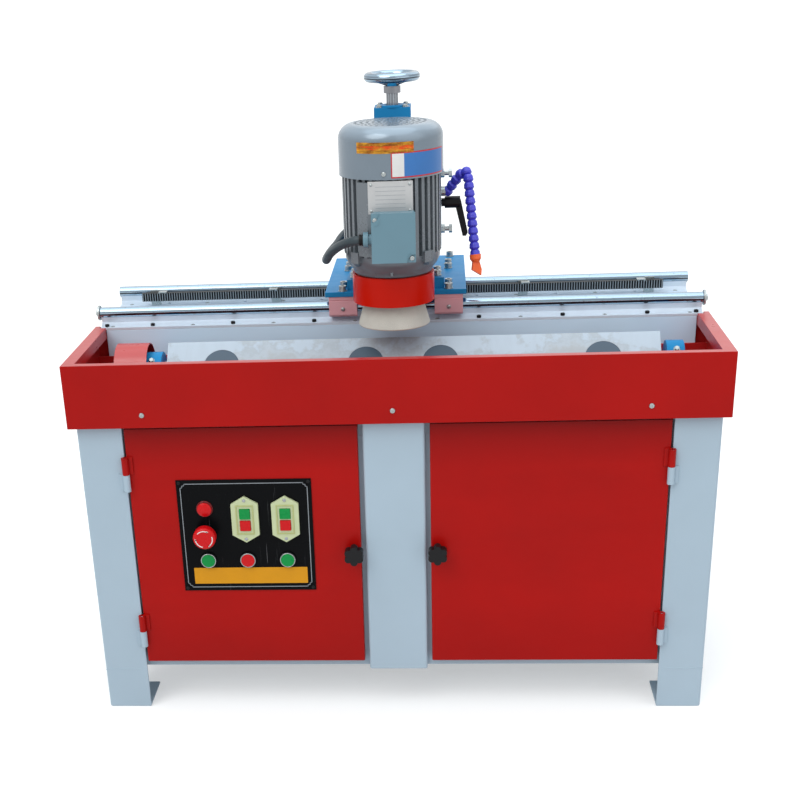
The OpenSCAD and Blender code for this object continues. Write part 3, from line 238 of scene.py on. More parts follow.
studio = {
    "floorSize": 160,
    "floorDrop": 0.0005,  # below the feet, so that the two don't meet
    "floorTone": 0.66,
    "floorGlow": 0.42,  # what the camera and the reflections see on top of the light
    "sky": 0.50,
    "suns": {  # where each comes from, its breadth in degrees, its strength and colour
        "key": ((-2.2, -3.0, 3.6), 40, 1.10, (1.0, 0.99, 0.97)),
        "fill": ((3.0, -2.6, 2.0), 60, 0.45, (1.0, 1.0, 1.0)),
        "back": ((0.8, 2.4, 2.6), 60, 0.40, (0.95, 0.98, 1.0)),
        "zenith": ((0.0, -0.3, 4.0), 70, 1.35, (0.86, 0.95, 1.0)),
    },
}


def seenDirectly(nodes):
    # 1 for what the camera, a mirror or a glass sees, 0 for light that falls on the object
    path = nodes.tree.nodes.new("ShaderNodeLightPath")
    eye, mirror, glass = [Wire(nodes, path.outputs[f"Is {ray} Ray"])
                          for ray in ("Camera", "Glossy", "Transmission")]
    return nodes.node("ShaderNodeMath", {"operation": "MINIMUM"}, {0: eye + mirror + glass, 1: 1.0})


def makeFloor():
    bpy.ops.object.select_all(action="DESELECT")
    low = (0, 0, -studio["floorDrop"])
    bpy.ops.mesh.primitive_plane_add(size=studio["floorSize"], location=low)
    floor = bpy.context.object
    floor.name = "floor"
    paper = Recipe("paper", rough=0.9, gloss=0.1)
    light, glow = studio["floorTone"], studio["floorGlow"]
    paper.set(colour=paper.mix(paper.noise(3) * 0.06, (light,) * 3, (light - 0.03,) * 3),
              glow=paper.mix(seenDirectly(paper), (0.0, 0.0, 0.0), (glow,) * 3), glowStrength=1.0)
    floor.data.materials.append(paper.material)


def makeSky():
    world = bpy.data.worlds.new("room")
    scene.world = world
    world.use_nodes = True
    room = Nodes(world.node_tree)
    seen = seenDirectly(room)
    back = room.node("ShaderNodeBackground", {}, {
        "Color": room.mix(seen, (0.97, 0.985, 1.0), (1.0, 1.0, 1.0)),
        "Strength": seen * (1 - studio["sky"]) + studio["sky"]})
    room.feed(room.tree.nodes.new("ShaderNodeOutputWorld").inputs[0], back)


def makeSuns():
    for name, (place, breadth, power, colour) in studio["suns"].items():
        data = bpy.data.lights.new(name, "SUN")
        data.angle = math.radians(breadth)
        data.energy = power
        data.color = colour
        made = bpy.data.objects.new(name, data)
        scene.collection.objects.link(made)
        made.location = place
        made.rotation_euler = (-Vector(place)).to_track_quat("-Z", "Y").to_euler()


makeFloor()
makeSky()
makeSuns()
print("camera, floor and light are set")


def enamel(name, colour, rough, peel, mottle, scuffs, gloss=0.22, brush=(18, 18, 260)):
    # sprayed paint with faint clouds, dirt, streaks along the brush and a few scuffs
    paint = Recipe(name, gloss=gloss)
    cloud = paint.noise(5, 3, 0.6)
    fine = paint.noise(60, 4, 0.7)
    streaks = paint.noise(1, 4, 0.7, paint.place(brush))
    scratch = paint.noise(1, 3, 0.8, paint.place((420, 25, 25), turn=(0.2, 0.5, 0.9)))
    body = paint.mottled(paint.fade(cloud, 0.3, 0.7), colour, 1 - mottle, 1 + mottle)
    body = paint.mix(paint.fade(scratch, 0.66, 0.72) * scuffs * 0.35, body, shade(colour, 1.25))
    return paint.set(
        colour=paint.mix(paint.fade(fine, 0.62, 0.8) * (mottle * 1.5), body, shade(colour, 0.7)),
        rough=paint.fade(streaks * 0.5 + fine * 0.5, 0.3, 0.7, rough * 0.85, rough * 1.2),
        normal=paint.peel(peel))


def plated(name, colour, rough, grain, wear, metallic=1.0):
    # bare or plated metal with the lines of its grain
    metal = Recipe(name, metal=metallic)
    lines = metal.noise(1, 3, 0.6, metal.place(grain))
    cloud = metal.noise(30, 4, 0.65)
    return metal.set(
        colour=metal.mix(metal.fade(cloud, 0.35, 0.75) * wear, colour, shade(colour, 0.72)),
        rough=metal.fade(lines * 0.6 + cloud * 0.4, 0.3, 0.7, rough * 0.7, rough * 1.35),
        normal=metal.bump(lines, 0.05, 0.0002))


def moulded(name, colour, rough, grain, scale, gloss):
    # plastic with the texture of its mould
    plastic = Recipe(name, gloss=gloss)
    tint = plastic.noise(40, 3, 0.6)
    return plastic.set(
        colour=plastic.mottled(plastic.fade(tint, 0.35, 0.7) * 0.5, colour, 0.95, 1.06),
        rough=plastic.fade(tint, 0.3, 0.7, rough * 0.85, rough * 1.15),
        normal=plastic.bump(plastic.noise(scale), grain, 0.0002))


def grit(name, colour):
    # bonded grinding grains with dark specks
    stone = Recipe(name, gloss=0.2)
    cloud = stone.noise(25, 4, 0.6)
    speck = stone.noise(650, 3, 0.7)
    body = stone.mottled(stone.fade(cloud, 0.35, 0.7), colour, 0.93, 1.05)
    body = stone.mix(stone.fade(speck, 0.6, 0.72) * 0.35, body, shade(colour, 0.55))
    return stone.set(colour=body, rough=0.9,
                     normal=stone.bump(stone.cells(900) + stone.cells(700) * 0.5, 0.5, 0.0006))


def mirrored(name, dark, light):
    # polished chrome with a painted reflection: the darker ground below and the sky above are
    # painted into its colour by the way each face looks
    metal = Recipe(name, metal=1.0)
    smear = metal.noise(26, 3, 0.6) * 0.14
    # painted reflection: ground, a dark horizon line and sky, chosen by how far each face looks up
    paintedReflection = metal.ramp(
        metal.facing() + smear - 0.07, (0.0, shade(dark, 1.6)), (0.3, light), (0.40, dark),
        (0.47, shade(dark, 0.5)), (0.52, light), (0.66, shade(light, 0.55)),
        (0.80, shade(light, 1.12)), (0.93, shade(light, 0.82)))
    spots = metal.noise(180, 3, 0.7)
    return metal.set(colour=metal.mix(metal.fade(spots, 0.62, 0.7) * 0.4, paintedReflection, dark),
                     rough=metal.fade(spots, 0.3, 0.7, 0.08, 0.2))


def printedPlate(name, colour):
    # a printed black plate with the fine upright scratches of wiping
    plate = Recipe(name, gloss=0.05)
    rub = plate.noise(1, 2, 0.9, plate.place((900, 30, 7), turn=(0, 0.03, 0)))
    mist = plate.noise(12, 4, 0.6)
    marks = plate.fade(rub, 0.70, 0.76) * plate.fade(mist, 0.4, 0.6)
    return plate.set(colour=plate.mix(marks * 0.38, colour, (0.5, 0.52, 0.55)),
                     rough=plate.fade(mist, 0.3, 0.7, 0.22, 0.34))


def stainedEnamel(name, colour, stain):
    # pale paint where grinding water has dried
    paint = Recipe(name, gloss=0.3)
    where = paint.place()
    edge = paint.noise(34, 4, 0.7, where)
    low = paint.fade(paint.part("z", where) * -14 + 9.0, 0.25, 0.6)
    pools = paint.noise(7, 5, 0.62, where) * 0.7 + edge * 0.3 + low * 0.13
    mask = paint.fade(pools, 0.52, 0.63)
    rim = paint.ramp(pools, (0.49, 0.0), (0.53, 1.0), (0.57, 0.0))
    drips = paint.noise(1, 3, 0.6, paint.place((60, 14, 14)))
    body = paint.mix(paint.fade(drips, 0.4, 0.7) * 0.3, colour, shade(colour, 0.86))
    body = paint.mix(mask * 0.32, body, stain)
    return paint.set(colour=paint.mix(rim * 0.22, body, shade(stain, 0.6)),
                     rough=paint.fade(mask * 0.5 + edge * 0.3, 0.2, 0.7, 0.3, 0.6),
                     normal=paint.peel(0.08))


def foil(name, colour, deep, ember):
    # gold foil with a dark edge and a worn ember-coloured band along its middle
    metal = Recipe(name, metal=0.75)
    where = metal.place()
    creases = metal.noise(90, 4, 0.7, where)
    wide = metal.noise(1, 3, 0.7, metal.place((60, 60, 420)))
    high = metal.part("z", where)
    band = high.above(0.9652) * high.below(0.9712) * metal.fade(wide, 0.42, 0.56)
    rim = metal.fade(metal.noise(1, 3, 0.7, metal.place((36, 36, 300))), 0.40, 0.62, 1.0, 0.0)
    body = metal.mix(metal.fade(creases, 0.3, 0.68), deep, colour)
    body = metal.mix(rim * 0.75, body, shade(deep, 0.4))
    return metal.set(colour=metal.mix(band * 0.85, body, ember),
                     rough=metal.fade(creases, 0.3, 0.7, 0.22, 0.42),
                     normal=metal.bump(creases, 0.15, 0.0003))


def doorEnamel(name, colour, deep):
    # the doors' red, with a painted shadow under the tray's edge, darker towards the bottom, and
    # uneven where it was rolled on
    paint = Recipe(name, gloss=0.13)
    where = paint.place()
    cloud = paint.noise(4, 4, 0.6, where)
    fine = paint.noise(70, 4, 0.7)
    wipe = paint.noise(1, 3, 0.7, paint.place((3, 60, 11)))
    # painted shadow: the top of each door darkens to deep under the tray's edge, and the bottom
    # darkens to it too
    high = paint.fade(paint.part("z", where) * 10 - 4.6, 0.0, 0.75)
    low = paint.fade(paint.part("z", where) * -8 + 1.75, 0.0, 1.0)
    body = paint.mottled(paint.fade(cloud * 0.6 + wipe * 0.4, 0.36, 0.66), colour, 0.92, 1.08)
    body = paint.mix(high * 0.75 + low * 0.25, body, deep)
    chips = paint.noise(1, 3, 0.85, paint.place((330, 30, 40), turn=(0.3, 0.7, 0.2)))
    return paint.set(
        colour=paint.mix(paint.fade(chips, 0.70, 0.75) * 0.1, body, shade(colour, 1.7)),
        rough=paint.fade(cloud * 0.5 + fine * 0.5, 0.3, 0.7, 0.27, 0.42),
        normal=paint.peel(0.14))


def castPaint(name, colour, rough, sparkle, sky=0.0):
    # thick silver-grey paint over a casting; faces that look up are painted paler by the share sky,
    # a painted sky light
    paint = Recipe(name, gloss=0.5)
    orange = paint.noise(170, 3, 0.6)
    cloud = paint.noise(14, 4, 0.6)
    dust = paint.noise(55, 5, 0.75)
    body = paint.mottled(paint.fade(cloud, 0.3, 0.7), colour, 0.96, 1.05)
    # painted sky light: faces that look up are painted paler
    body = paint.mix(paint.fade(paint.facing(), 0.5, 0.85) * sky, body, shade(colour, 1.7))
    body = paint.mix(paint.fade(dust, 0.64, 0.80) * 0.05, body, shade(colour, 0.62))
    return paint.set(
        colour=body, metal=paint.fade(cloud, 0.3, 0.7, sparkle, sparkle * 1.4),
        rough=paint.fade(orange * 0.3 + cloud * 0.7, 0.3, 0.7, rough * 0.85, rough * 1.2),
        normal=paint.bump(orange, 0.06, 0.0005))


finishes = {
    # door: its second red is the colour of the painted shadow under the tray and of the darker
    # bottom
    "door": doorEnamel("door", tone(168, 13, 9), tone(124, 8, 8)),
    "bed": stainedEnamel("bed", tone(186, 202, 215), tone(150, 138, 116)),
    # chrome: its dark and light tones are the ground and sky of the painted reflection
    "chrome": mirrored("chrome", tone(66, 72, 78), tone(156, 176, 192)),
    "plate": printedPlate("plate", tone(11, 12, 14)),
    "gold": foil("gold", tone(226, 168, 50), tone(150, 78, 24), tone(214, 62, 22)),
    "grit": grit("grit", tone(206, 207, 198)),
}
families = {
    enamel: {  # colour, rough, peel, mottle, scuffs, gloss, brush
        # beam: painted paler than the frame, a painted light on the beam's shaded front
        "beam": ((206, 230, 248), 0.36, 0.10, 0.05, 0.3, 0.3),
        "frame": ((170, 189, 203), 0.40, 0.10, 0.03, 0.2),
        "red": ((168, 13, 9), 0.32, 0.14, 0.07, 0.25, 0.13),
        # wetRed: a glossier red painted paler than red, a painted sheen on the tray's inside and
        # the tilt cover
        "wetRed": ((180, 30, 30), 0.30, 0.10, 0.06, 0.3, 0.85),
        "guard": ((200, 24, 4), 0.24, 0.06, 0.04, 0.2, 0.10, (40, 40, 5)),
        "blue": ((38, 134, 190), 0.36, 0.12, 0.08, 0.4, 0.07),
        "box": ((104, 138, 152), 0.34, 0.16, 0.04, 0.2, 0.35),
        "tank": ((120, 130, 138), 0.45, 0.2, 0.05, 0.4),
    },
    castPaint: {  # colour, rough, sparkle, sky (the share of painted sky light)
        "matteSteel": ((138, 138, 142), 0.38, 0.6),
        "motor": ((110, 117, 123), 0.26, 0.16),
        # cowl: its top is painted paler by sky 0.8, a painted sky light
        "cowl": ((116, 129, 140), 0.22, 0.22, 0.8),
        "bell": ((106, 113, 120), 0.30, 0.12),
        # block: the alloy bearing blocks in pale pink, painted paler as a painted light on their
        # shaded faces
        "block": ((228, 174, 182), 0.36, 0.03),
    },
    plated: {  # colour, rough, grain, wear, metallic
        "alloy": ((212, 224, 236), 0.44, (25, 900, 900), 0.25, 0.3),
        "rack": ((166, 172, 176), 0.36, (500, 500, 30), 0.5, 0.75),
        "zinc": ((166, 172, 172), 0.28, (300, 300, 300), 0.5, 0.85),
        "screw": ((160, 164, 168), 0.28, (500, 500, 60), 0.3),
        "label": ((188, 188, 188), 0.42, (40, 40, 700), 0.3, 0.5),
    },
    moulded: {  # colour, rough, grain, its scale, gloss
        # rackGap: near black, a painted shade in the rack's tooth gaps
        "rackGap": ((34, 36, 38), 0.5, 0.1, 500, 0.2),
        "darkRed": ((110, 14, 18), 0.3, 0.05, 500, 0.3),
        "darkSteel": ((78, 96, 112), 0.42, 0.15, 500, 0.3),
        "black": ((20, 20, 22), 0.40, 0.25, 700, 0.2),
        # hole: near black, a painted shade for the inside of slots and holes
        "hole": ((10, 10, 11), 0.8, 0.1, 700, 0.05),
        "line": ((146, 152, 158), 0.4, 0.02, 200, 0.2),
        "strip": ((214, 148, 22), 0.4, 0.04, 300, 0.2),
        "white": ((226, 226, 224), 0.4, 0.04, 300, 0.2),
        "cream": ((198, 208, 166), 0.36, 0.08, 600, 0.3),
        # creamRim: a darker, yellower cream for the unit frames, a painted shade along their recess
        # outline
        "creamRim": ((180, 186, 128), 0.36, 0.08, 600, 0.3),
        "redPlastic": ((204, 16, 22), 0.26, 0.05, 500, 0.2),
        "greenPlastic": ((4, 142, 66), 0.28, 0.05, 500, 0.2),
        "greyPlastic": ((190, 194, 198), 0.45, 0.1, 500, 0.3),
        "lead": ((52, 64, 70), 0.42, 0.15, 400, 0.3),
        "hose": ((66, 64, 204), 0.34, 0.06, 500, 0.6),
        "nozzle": ((252, 112, 58), 0.34, 0.08, 500, 0.3),
        "bluePrint": ((60, 120, 188), 0.36, 0.04, 300, 0.3),
        "redPrint": ((200, 44, 52), 0.36, 0.04, 300, 0.3),
    },
}
for maker, members in families.items():
    for name, (colour, *settings) in members.items():
        finishes[name] = maker(name, tone(*colour), *settings)

wornBy = {
    "frame": "legs centre_post door_frame side_panels back_panel cabinet_floor hinge_pins",
    "beam": "bed_beam",
    "bed": "knife_bed",
    "red": "water_tray",
    # the tilt cover takes the painted sheen red
    "wetRed": "tilt_cover",
    "door": "left_door right_door",
    "guard": "wheel_guard",
    "blue": "tilt_bearings carriage_plate slide_column head_slide",
    "motor": "motor_frame travel_gearmotor",
    "cowl": "motor_cowl",
    "box": "terminal_box",
    "tank": "coolant_tank coolant_pump",
    "block": "bearing_blocks",
    "chrome": "rail_shafts handwheel",
    "alloy": "rail_supports",
    "rack": "gear_rack travel_pinion",
    "zinc": "rail_end_caps rack_brackets plate_bolts slide_fittings",
    "screw": "tilt_shaft lead_screw spindle",
    "darkSteel": "bed_magnets",
    "black": "panel_fittings left_latch right_latch clamp_lever",
    "plate": "control_panel",
    "cream": "switch_units",
    "redPlastic": "pilot_lamp estop_button travel_stop_button wheel_off_button pump_off_button",
    "greenPlastic": "travel_left_button travel_right_button wheel_on_button pump_on_button",
    "greyPlastic": "electric_panel",
    "lead": "carriage_lead head_lead",
    "hose": "hose_arm hose_drop",
    "nozzle": "hose_nozzle",
    "grit": "cup_wheel",
}

for finish, names in wornBy.items():
    for name in names.split():
        cadNodes[name].data.materials.clear()
        cadNodes[name].data.materials.append(finishes[finish])
print("finishes are on:", len(finishes))


def pick(*pieces):
    bpy.ops.object.select_all(action="DESELECT")
    for piece in pieces:
        piece.select_set(True)
    bpy.context.view_layer.objects.active = pieces[0]


def discard(*pieces):
    for piece in pieces:
        bpy.data.objects.remove(piece)


def settled(piece):
    # leaves the piece's place in its mesh
    pick(piece)
    bpy.ops.object.transform_apply(location=True, rotation=True, scale=True)
    return piece


def added(kind, name, scale=(1, 1, 1), **settings):
    bpy.ops.object.select_all(action="DESELECT")
    getattr(bpy.ops.mesh, f"primitive_{kind}_add")(**settings)
    piece = bpy.context.object
    piece.name = name
    piece.scale = scale
    return settled(piece)


def opened(piece):
    # in edit mode, with all of it selected
    pick(piece)
    bpy.ops.object.mode_set(mode="EDIT")
    bpy.ops.mesh.select_all(action="SELECT")


def closed(piece):
    bpy.ops.object.mode_set(mode="OBJECT")
    return piece


def modify(piece, kind, **settings):
    pick(piece)
    made = piece.modifiers.new(kind.lower(), kind)
    for name, value in settings.items():
        setattr(made, name, value)
    bpy.ops.object.modifier_apply(modifier=made.name)


def bevelled(piece, edge, steps=2, keen=30, **settings):
    # breaks the edges that turn by more than keen degrees, by edge mm
    modify(piece, "BEVEL", width=edge / 1000, segments=steps, limit_method="ANGLE",
           angle_limit=math.radians(keen), **settings)


def smoothed(piece, angle=32):
    # round faces shade as round, and flat ones stay flat
    pick(piece)
    bpy.ops.object.shade_smooth_by_angle(angle=math.radians(angle))
    modify(piece, "WEIGHTED_NORMAL", keep_sharp=True, weight=80)
    return piece


bodies = frame["record"]["behaviour"]["bodies"]
bodyOf = {node: body for body, members in bodies.items() for node in members}


def dressed(node, edge):
    # the frame's own shape with its edges broken, in place of the bare node
    piece = bpy.data.objects.new(node + "_dressed", cadNodes[node].data.copy())
    scene.collection.objects.link(piece)
    opened(piece)
    bpy.ops.mesh.remove_doubles(threshold=0.000002)
    bpy.ops.mesh.dissolve_limited(angle_limit=math.radians(0.6))
    closed(piece)
    if edge:
        bevelled(piece, edge, keen=38, miter_outer="MITER_ARC")
    smoothed(piece)
    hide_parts(node)
    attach(piece, bodyOf[node])


# how far the frame pieces' edges are broken, in mm
edges = {
    2.0: "clamp_lever",
    1.6: "left_latch right_latch",
    1.5: "travel_gearmotor",
    1.4: "tilt_bearings head_slide",
    1.2: "legs bed_beam slide_column terminal_box",
    1.0: "rail_shafts carriage_plate coolant_pump",
    0.9: "water_tray",
    0.8: "centre_post rail_end_caps tilt_shaft handwheel lead_screw cup_wheel electric_panel "
         "switch_units estop_button wheel_on_button wheel_off_button pump_on_button "
         "pump_off_button",
    0.7: "tilt_cover bearing_blocks",
    0.6: "knife_bed bed_magnets motor_frame wheel_guard hose_nozzle",
    0.5: "door_frame left_door right_door spindle coolant_tank",
    0.4: "side_panels rail_supports rack_brackets hinge_pins control_panel plate_bolts "
         "slide_fittings pilot_lamp",
    0.25: "travel_left_button travel_stop_button travel_right_button",
    0.15: "panel_fittings",
    0: "motor_cowl gear_rack",
}
for edge, names in edges.items():
    for name in names.split():
        dressed(name, edge)
print("frame pieces are dressed")


def turned(name, outline, sides=32):
    # a round piece standing at the origin, drawn up step by step: (radius, height) in mm
    radius, height = outline[0]
    piece = added("circle", name, vertices=sides, radius=radius / 1000, fill_type="NGON",
                  location=(0, 0, height / 1000))
    opened(piece)
    for wide, high in outline[1:]:
        rise, share = (0, 0, (high - height) / 1000), wide / radius
        bpy.ops.mesh.extrude_region_move(TRANSFORM_OT_translate={"value": rise})
        bpy.ops.transform.resize(value=(share, share, 1), center_override=(0, 0, high / 1000))
        radius, height = wide, high
    bpy.ops.mesh.select_all(action="DESELECT")
    bpy.ops.mesh.select_mode(type="EDGE")
    bpy.ops.mesh.select_non_manifold()
    bpy.ops.mesh.edge_face_add()
    bpy.ops.mesh.select_mode(type="FACE")
    bpy.ops.mesh.select_all(action="SELECT")
    bpy.ops.mesh.normals_make_consistent(inside=False)
    return closed(piece)


def swept(name, section, degrees, steps):
    # a flat strip swept round the upright axis: its inner and outer radius, low and high edge
    inner, outer, low, high = (v / 1000 for v in section)
    piece = added("plane", name, (outer - inner, high - low, 1), size=1,
                  rotation=(math.pi / 2, 0, 0),
                  location=((inner + outer) / 2, 0, (low + high) / 2))
    opened(piece)
    bpy.ops.mesh.spin(steps=steps, angle=-math.radians(degrees), center=(0, 0, 0), axis=(0, 0, 1))
    bpy.ops.mesh.select_all(action="SELECT")
    bpy.ops.mesh.normals_make_consistent(inside=False)
    return closed(piece)


def block(name, low, high, edge, steps=2):
    # a block between two corners in mm, with its edges broken
    a, b = at(*low), at(*high)
    piece = added("cube", name, b - a, size=1, location=(a + b) / 2)
    if edge:
        bevelled(piece, edge, steps)
    return piece


def plateAt(name, x, size, edge):
    # a block about x: half its width, its front and back, low and high
    half, front, back, low, high = size
    return block(name, (x - half, front, low), (x + half, back, high), edge)


def rimmed(name, centre, wide, high, rim, proud):
    # a raised rectangular rim that stands on a front face
    piece = added("plane", name, (wide / 1000, high / 1000, 1), size=1, location=at(*centre),
                  rotation=(math.pi / 2, 0, 0))
    opened(piece)
    bpy.ops.mesh.inset(thickness=rim / 1000)
    bpy.ops.mesh.delete(type="FACE")  # the middle, which the inset leaves selected
    bpy.ops.mesh.select_all(action="SELECT")
    bpy.ops.mesh.extrude_region_move(TRANSFORM_OT_translate={"value": (0, -proud / 1000, 0)})
    bevelled(closed(piece), 0.4, keen=40)
    return smoothed(piece)


def drawnIn(piece, up, share, centre):
    # pulls the top (up 1) or the bottom (up -1) of a piece towards a centre
    for face in piece.data.polygons:
        face.select = face.normal.z * up > 0.9
    pick(piece)
    bpy.ops.object.mode_set(mode="EDIT")
    bpy.ops.mesh.select_mode(type="FACE")
    bpy.ops.transform.resize(value=share, center_override=centre)
    closed(piece)


def copied(pattern, matrix):
    piece = bpy.data.objects.new(pattern.name, pattern.data.copy())
    scene.collection.objects.link(piece)
    piece.data.transform(matrix)
    return piece


def joined(name, pieces):
    pick(*pieces)
    if len(pieces) > 1:
        bpy.ops.object.join()
    pieces[0].name = name
    return pieces[0]


turns = {
    "up": Matrix.Identity(4),
    "front": spun(90, "X"),
    "back": spun(-90, "X"),
    "right": spun(90, "Y"),
    "left": spun(-90, "Y"),
}


def copies(pattern, name, facing, places):
    return joined(name, [copied(pattern, moved(*place) @ turns[facing]) for place in places])


def fitted(piece, finish, slot, body, *nodes):
    # paints a finished piece and hangs it on its body
    piece.data.materials.clear()
    piece.data.materials.append(finishes[finish])
    settled(piece)
    if nodes:
        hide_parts(*nodes)
    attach(piece, body)
    return piece


def bolted(piece, body):
    return fitted(piece, "zinc", "zinc_steel", body)


def repaint(node, finish, chosen):
    # a second paint on the faces that a test of their middle picks, in mm
    piece = bpy.data.objects[node + "_dressed"]
    piece.data.materials.append(finishes[finish])
    last = len(piece.data.materials) - 1
    for face in piece.data.polygons:
        x, y, z = face.center * 1000
        if chosen(x, y + middle, z):
            face.material_index = last


def crossScrew(wide, high):
    # a pan head with a cross driven into it, in shares of its width and height
    outline = ((0.5, 0), (0.5, 0.35), (0.43, 0.75), (0.26, 1))
    head = turned("screw", [(wide * a, high * b) for a, b in outline])
    bevelled(head, 0.2)
    for angle in (0, 90):
        size = (wide * 0.52 / 1000, wide * 0.11 / 1000, high * 0.7 / 1000)
        slot = added("cube", "slot", size, size=1, location=(0, 0, high / 1000),
                     rotation=(0, 0, math.radians(angle)))
        modify(head, "BOOLEAN", operation="DIFFERENCE", object=slot, solver="EXACT")
        discard(slot)
    return smoothed(head)


def hexBolt(across, high, washer):
    # a hexagon head on its washer, chamfered at the top
    thick = 1.6
    corner, top = across / 1.732, high + thick
    wide = washer / 2
    plate = turned("washer", [(wide, 0), (wide, thick - 0.2), (wide - 0.3, thick)])
    head = turned("bolt", [(corner, thick), (corner, 0.85 * high + thick), (across * 0.47, top)], 6)
    crown = turned("crown", [(across * 0.32, top - 0.1), (across * 0.30, top + 0.3)])
    bevelled(head, 0.3)
    return smoothed(joined("bolt", [head, plate, crown]))


screws = {
    "trayHead": (9.0, 2.6),  # a screw head's width and height
    "blockHead": (7.5, 2.2),
    "railHead": (9.5, 1.2),
    "trayScrews": [(-420, 0, 565.5), (0, 0, 565.5), (420, 0, 565.5)],
    "blockScrews": [(-94, 256, 675.4), (94, 256, 675.4)],
    "frontRail": 265,
    "rearRail": 437.5,
    "flangeTop": 651.9,
    "screwPitch": 147.5,
    "endSocket": 527,
    "socket": [(4.0, 0), (4.0, 4.4), (3.6, 4.8), (2.2, 4.8), (2.1, 2.4)],
    "topBolt": (8, 2.4, 12),  # across the flats, height and washer
    "topBolts": [(-22, 292, 1010), (22, 292, 1010), (-22, 337, 1010), (22, 337, 1010)],
    "hooks": [-450, -237, 0, 237, 450],
    "hook": (8, 413, 427.4, 678.2, 680.4),  # half its width, front, back, low, top
    "lip": (1.6, 412.2, 414.4, 677.0, 680.4),
    "lipApart": 5.5,
}


def makeFasteners():
    screw = crossScrew(*screws["trayHead"])
    bolted(copies(screw, "traySideScrews", "front", screws["trayScrews"]), "base")
    small = crossScrew(*screws["blockHead"])
    bolted(copies(small, "blockFaceScrews", "front", screws["blockScrews"]), "carriage")
    pitch, top, front = screws["screwPitch"], screws["flangeTop"], screws["frontRail"]
    flat = crossScrew(*screws["railHead"])
    bright = [((i + 0.5) * pitch, row, top) for i in range(-4, 4)
              for row in (front, screws["rearRail"])]
    bolted(copies(flat, "railScrews", "up", bright), "base")
    # socket heads in the rail flange, painted black as the shade of their counterbored holes:
    # painted shade
    hole = smoothed(turned("socketPattern", screws["socket"], 24))
    dark = [(i * pitch, front, top) for i in range(-3, 4)]
    dark += [(side * screws["endSocket"], front, top) for side in (-1, 1)]
    fitted(copies(hole, "railSockets", "up", dark), "black", "zinc_steel", "base")
    bolt = hexBolt(*screws["topBolt"])
    bolted(copies(bolt, "topBlockBolts", "up", screws["topBolts"]), "carriage")
    discard(screw, small, flat, hole, bolt)


def makeRackHooks():
    # the clips that hold the rack down, each with two lips over its front edge
    apart = screws["lipApart"]
    hooks = []
    for x in screws["hooks"]:
        hooks.append(plateAt("hookTop", x, screws["hook"], 0.4))
        hooks += [plateAt("hookLip", x + side, screws["lip"], 0.3) for side in (-apart, apart)]
    bolted(joined("rackHooks", hooks), "base")


makeFasteners()
makeRackHooks()
print("fasteners are in")

sheets = {
    "legFace": 538.7,
    "legDepths": [46, 449],
    "legHeights": [120, 310, 500],
    "weld": ((471.5, 538.5), (14.6, 15.4), (76.8, 78.2)),  # across, behind the front, up
    "backFace": 471,
    "backScrews": [(x, z) for x in (-420, -140, 140, 420) for z in (90, 530)],
    "screwHead": (9, 2.4),
    "louvreColumns": [-300, 280],
    "louvreRows": [380 + i * 22 for i in range(6)],
    "louvre": (130, 12, 4.5),  # wide, high and proud
    "slot": (2, 1.6, 0.3),  # in from the louvre's sides, below and above its lower edge
    "louvreTop": (0.9, 0.12, 1),  # the share to which a hood's top is drawn in
    "sealHoles": [(side * 56.5, 33.4, z) for side in (-1, 1)
                  for z in (140, 215, 265, 310, 352, 402, 452, 505)],
    "sealHole": [(1.5, -1.2), (1.5, 0.05), (1.2, 0.15)],
    "rackGap": (411.8, 417),  # the tooth gaps between these depths are painted dark: painted shade
    "trayWalls": (548.5, 1.5),  # the tray's inside, painted the paler sheen red, lies inside of these
    "bellTop": 791,
}


def weldSeams():
    # the weld across each front leg at the cabinet's floor
    (inner, outer), (near, far), (low, high) = sheets["weld"]
    seams = [block("seam", (left, near, low), (right, far, high), 0.35)
             for left, right in ((-outer, -inner), (inner, outer))]
    fitted(joined("legSeams", seams), "frame", "frame_paint", "base")


def makeSheetScrews():
    screw = crossScrew(*sheets["screwHead"])
    for side, facing in ((-1, "left"), (1, "right")):
        places = [(side * sheets["legFace"], d, z) for d in sheets["legDepths"]
                  for z in sheets["legHeights"]]
        bolted(copies(screw, f"legScrews_{facing}", facing, places), "base")
    places = [(x, sheets["backFace"], z) for x, z in sheets["backScrews"]]
    bolted(copies(screw, "backScrews", "back", places), "base")
    discard(screw)


def makeLouvres():
    # pressed hoods, open below, over near-black blocks that are painted shade for the slots
    wide, high, proud = sheets["louvre"]
    inset, below, above = sheets["slot"]
    back, half = sheets["backFace"], wide / 2
    hoods, slots = [], []
    for x in sheets["louvreColumns"]:
        for z in sheets["louvreRows"]:
            hood = block("hood", (x - half, back - 0.5, z), (x + half, back + proud, z + high), 0)
            drawnIn(hood, 1, sheets["louvreTop"], at(x, back - 0.5, z))
            bevelled(hood, 1.2, 3, 25)
            smoothed(hood)
            hoods.append(hood)
            # the near-black block under each hood is the painted shade of its slot
            slots.append(block("slot", (x - half + inset, back - 0.4, z - below),
                               (x + half - inset, back + proud - 1.4, z + above), 0.3))
    fitted(joined("louvres", hoods), "frame", "frame_paint", "base")
    fitted(joined("louvreSlots", slots), "hole", "frame_paint", "base")


def makeSealHoles():
    # small holes along the centre post, shown as near-black dots: painted shade
    dot = turned("dotPattern", sheets["sealHole"], 16)
    fitted(copies(dot, "sealHoles", "front", sheets["sealHoles"]), "hole", "frame_paint", "base")
    discard(dot)


def paintSheets():
    near, far = sheets["rackGap"]
    # painted shade: the rack's tooth gaps are painted near black
    repaint("gear_rack", "rackGap", lambda x, d, z: near < d < far)
    wall, front = sheets["trayWalls"]
    # the tray's inside takes wetRed, whose paler colour is a painted sheen
    repaint("water_tray", "wetRed", lambda x, d, z: abs(x) < wall and d > front)
    repaint("motor_frame", "bell", lambda x, d, z: z < sheets["bellTop"])


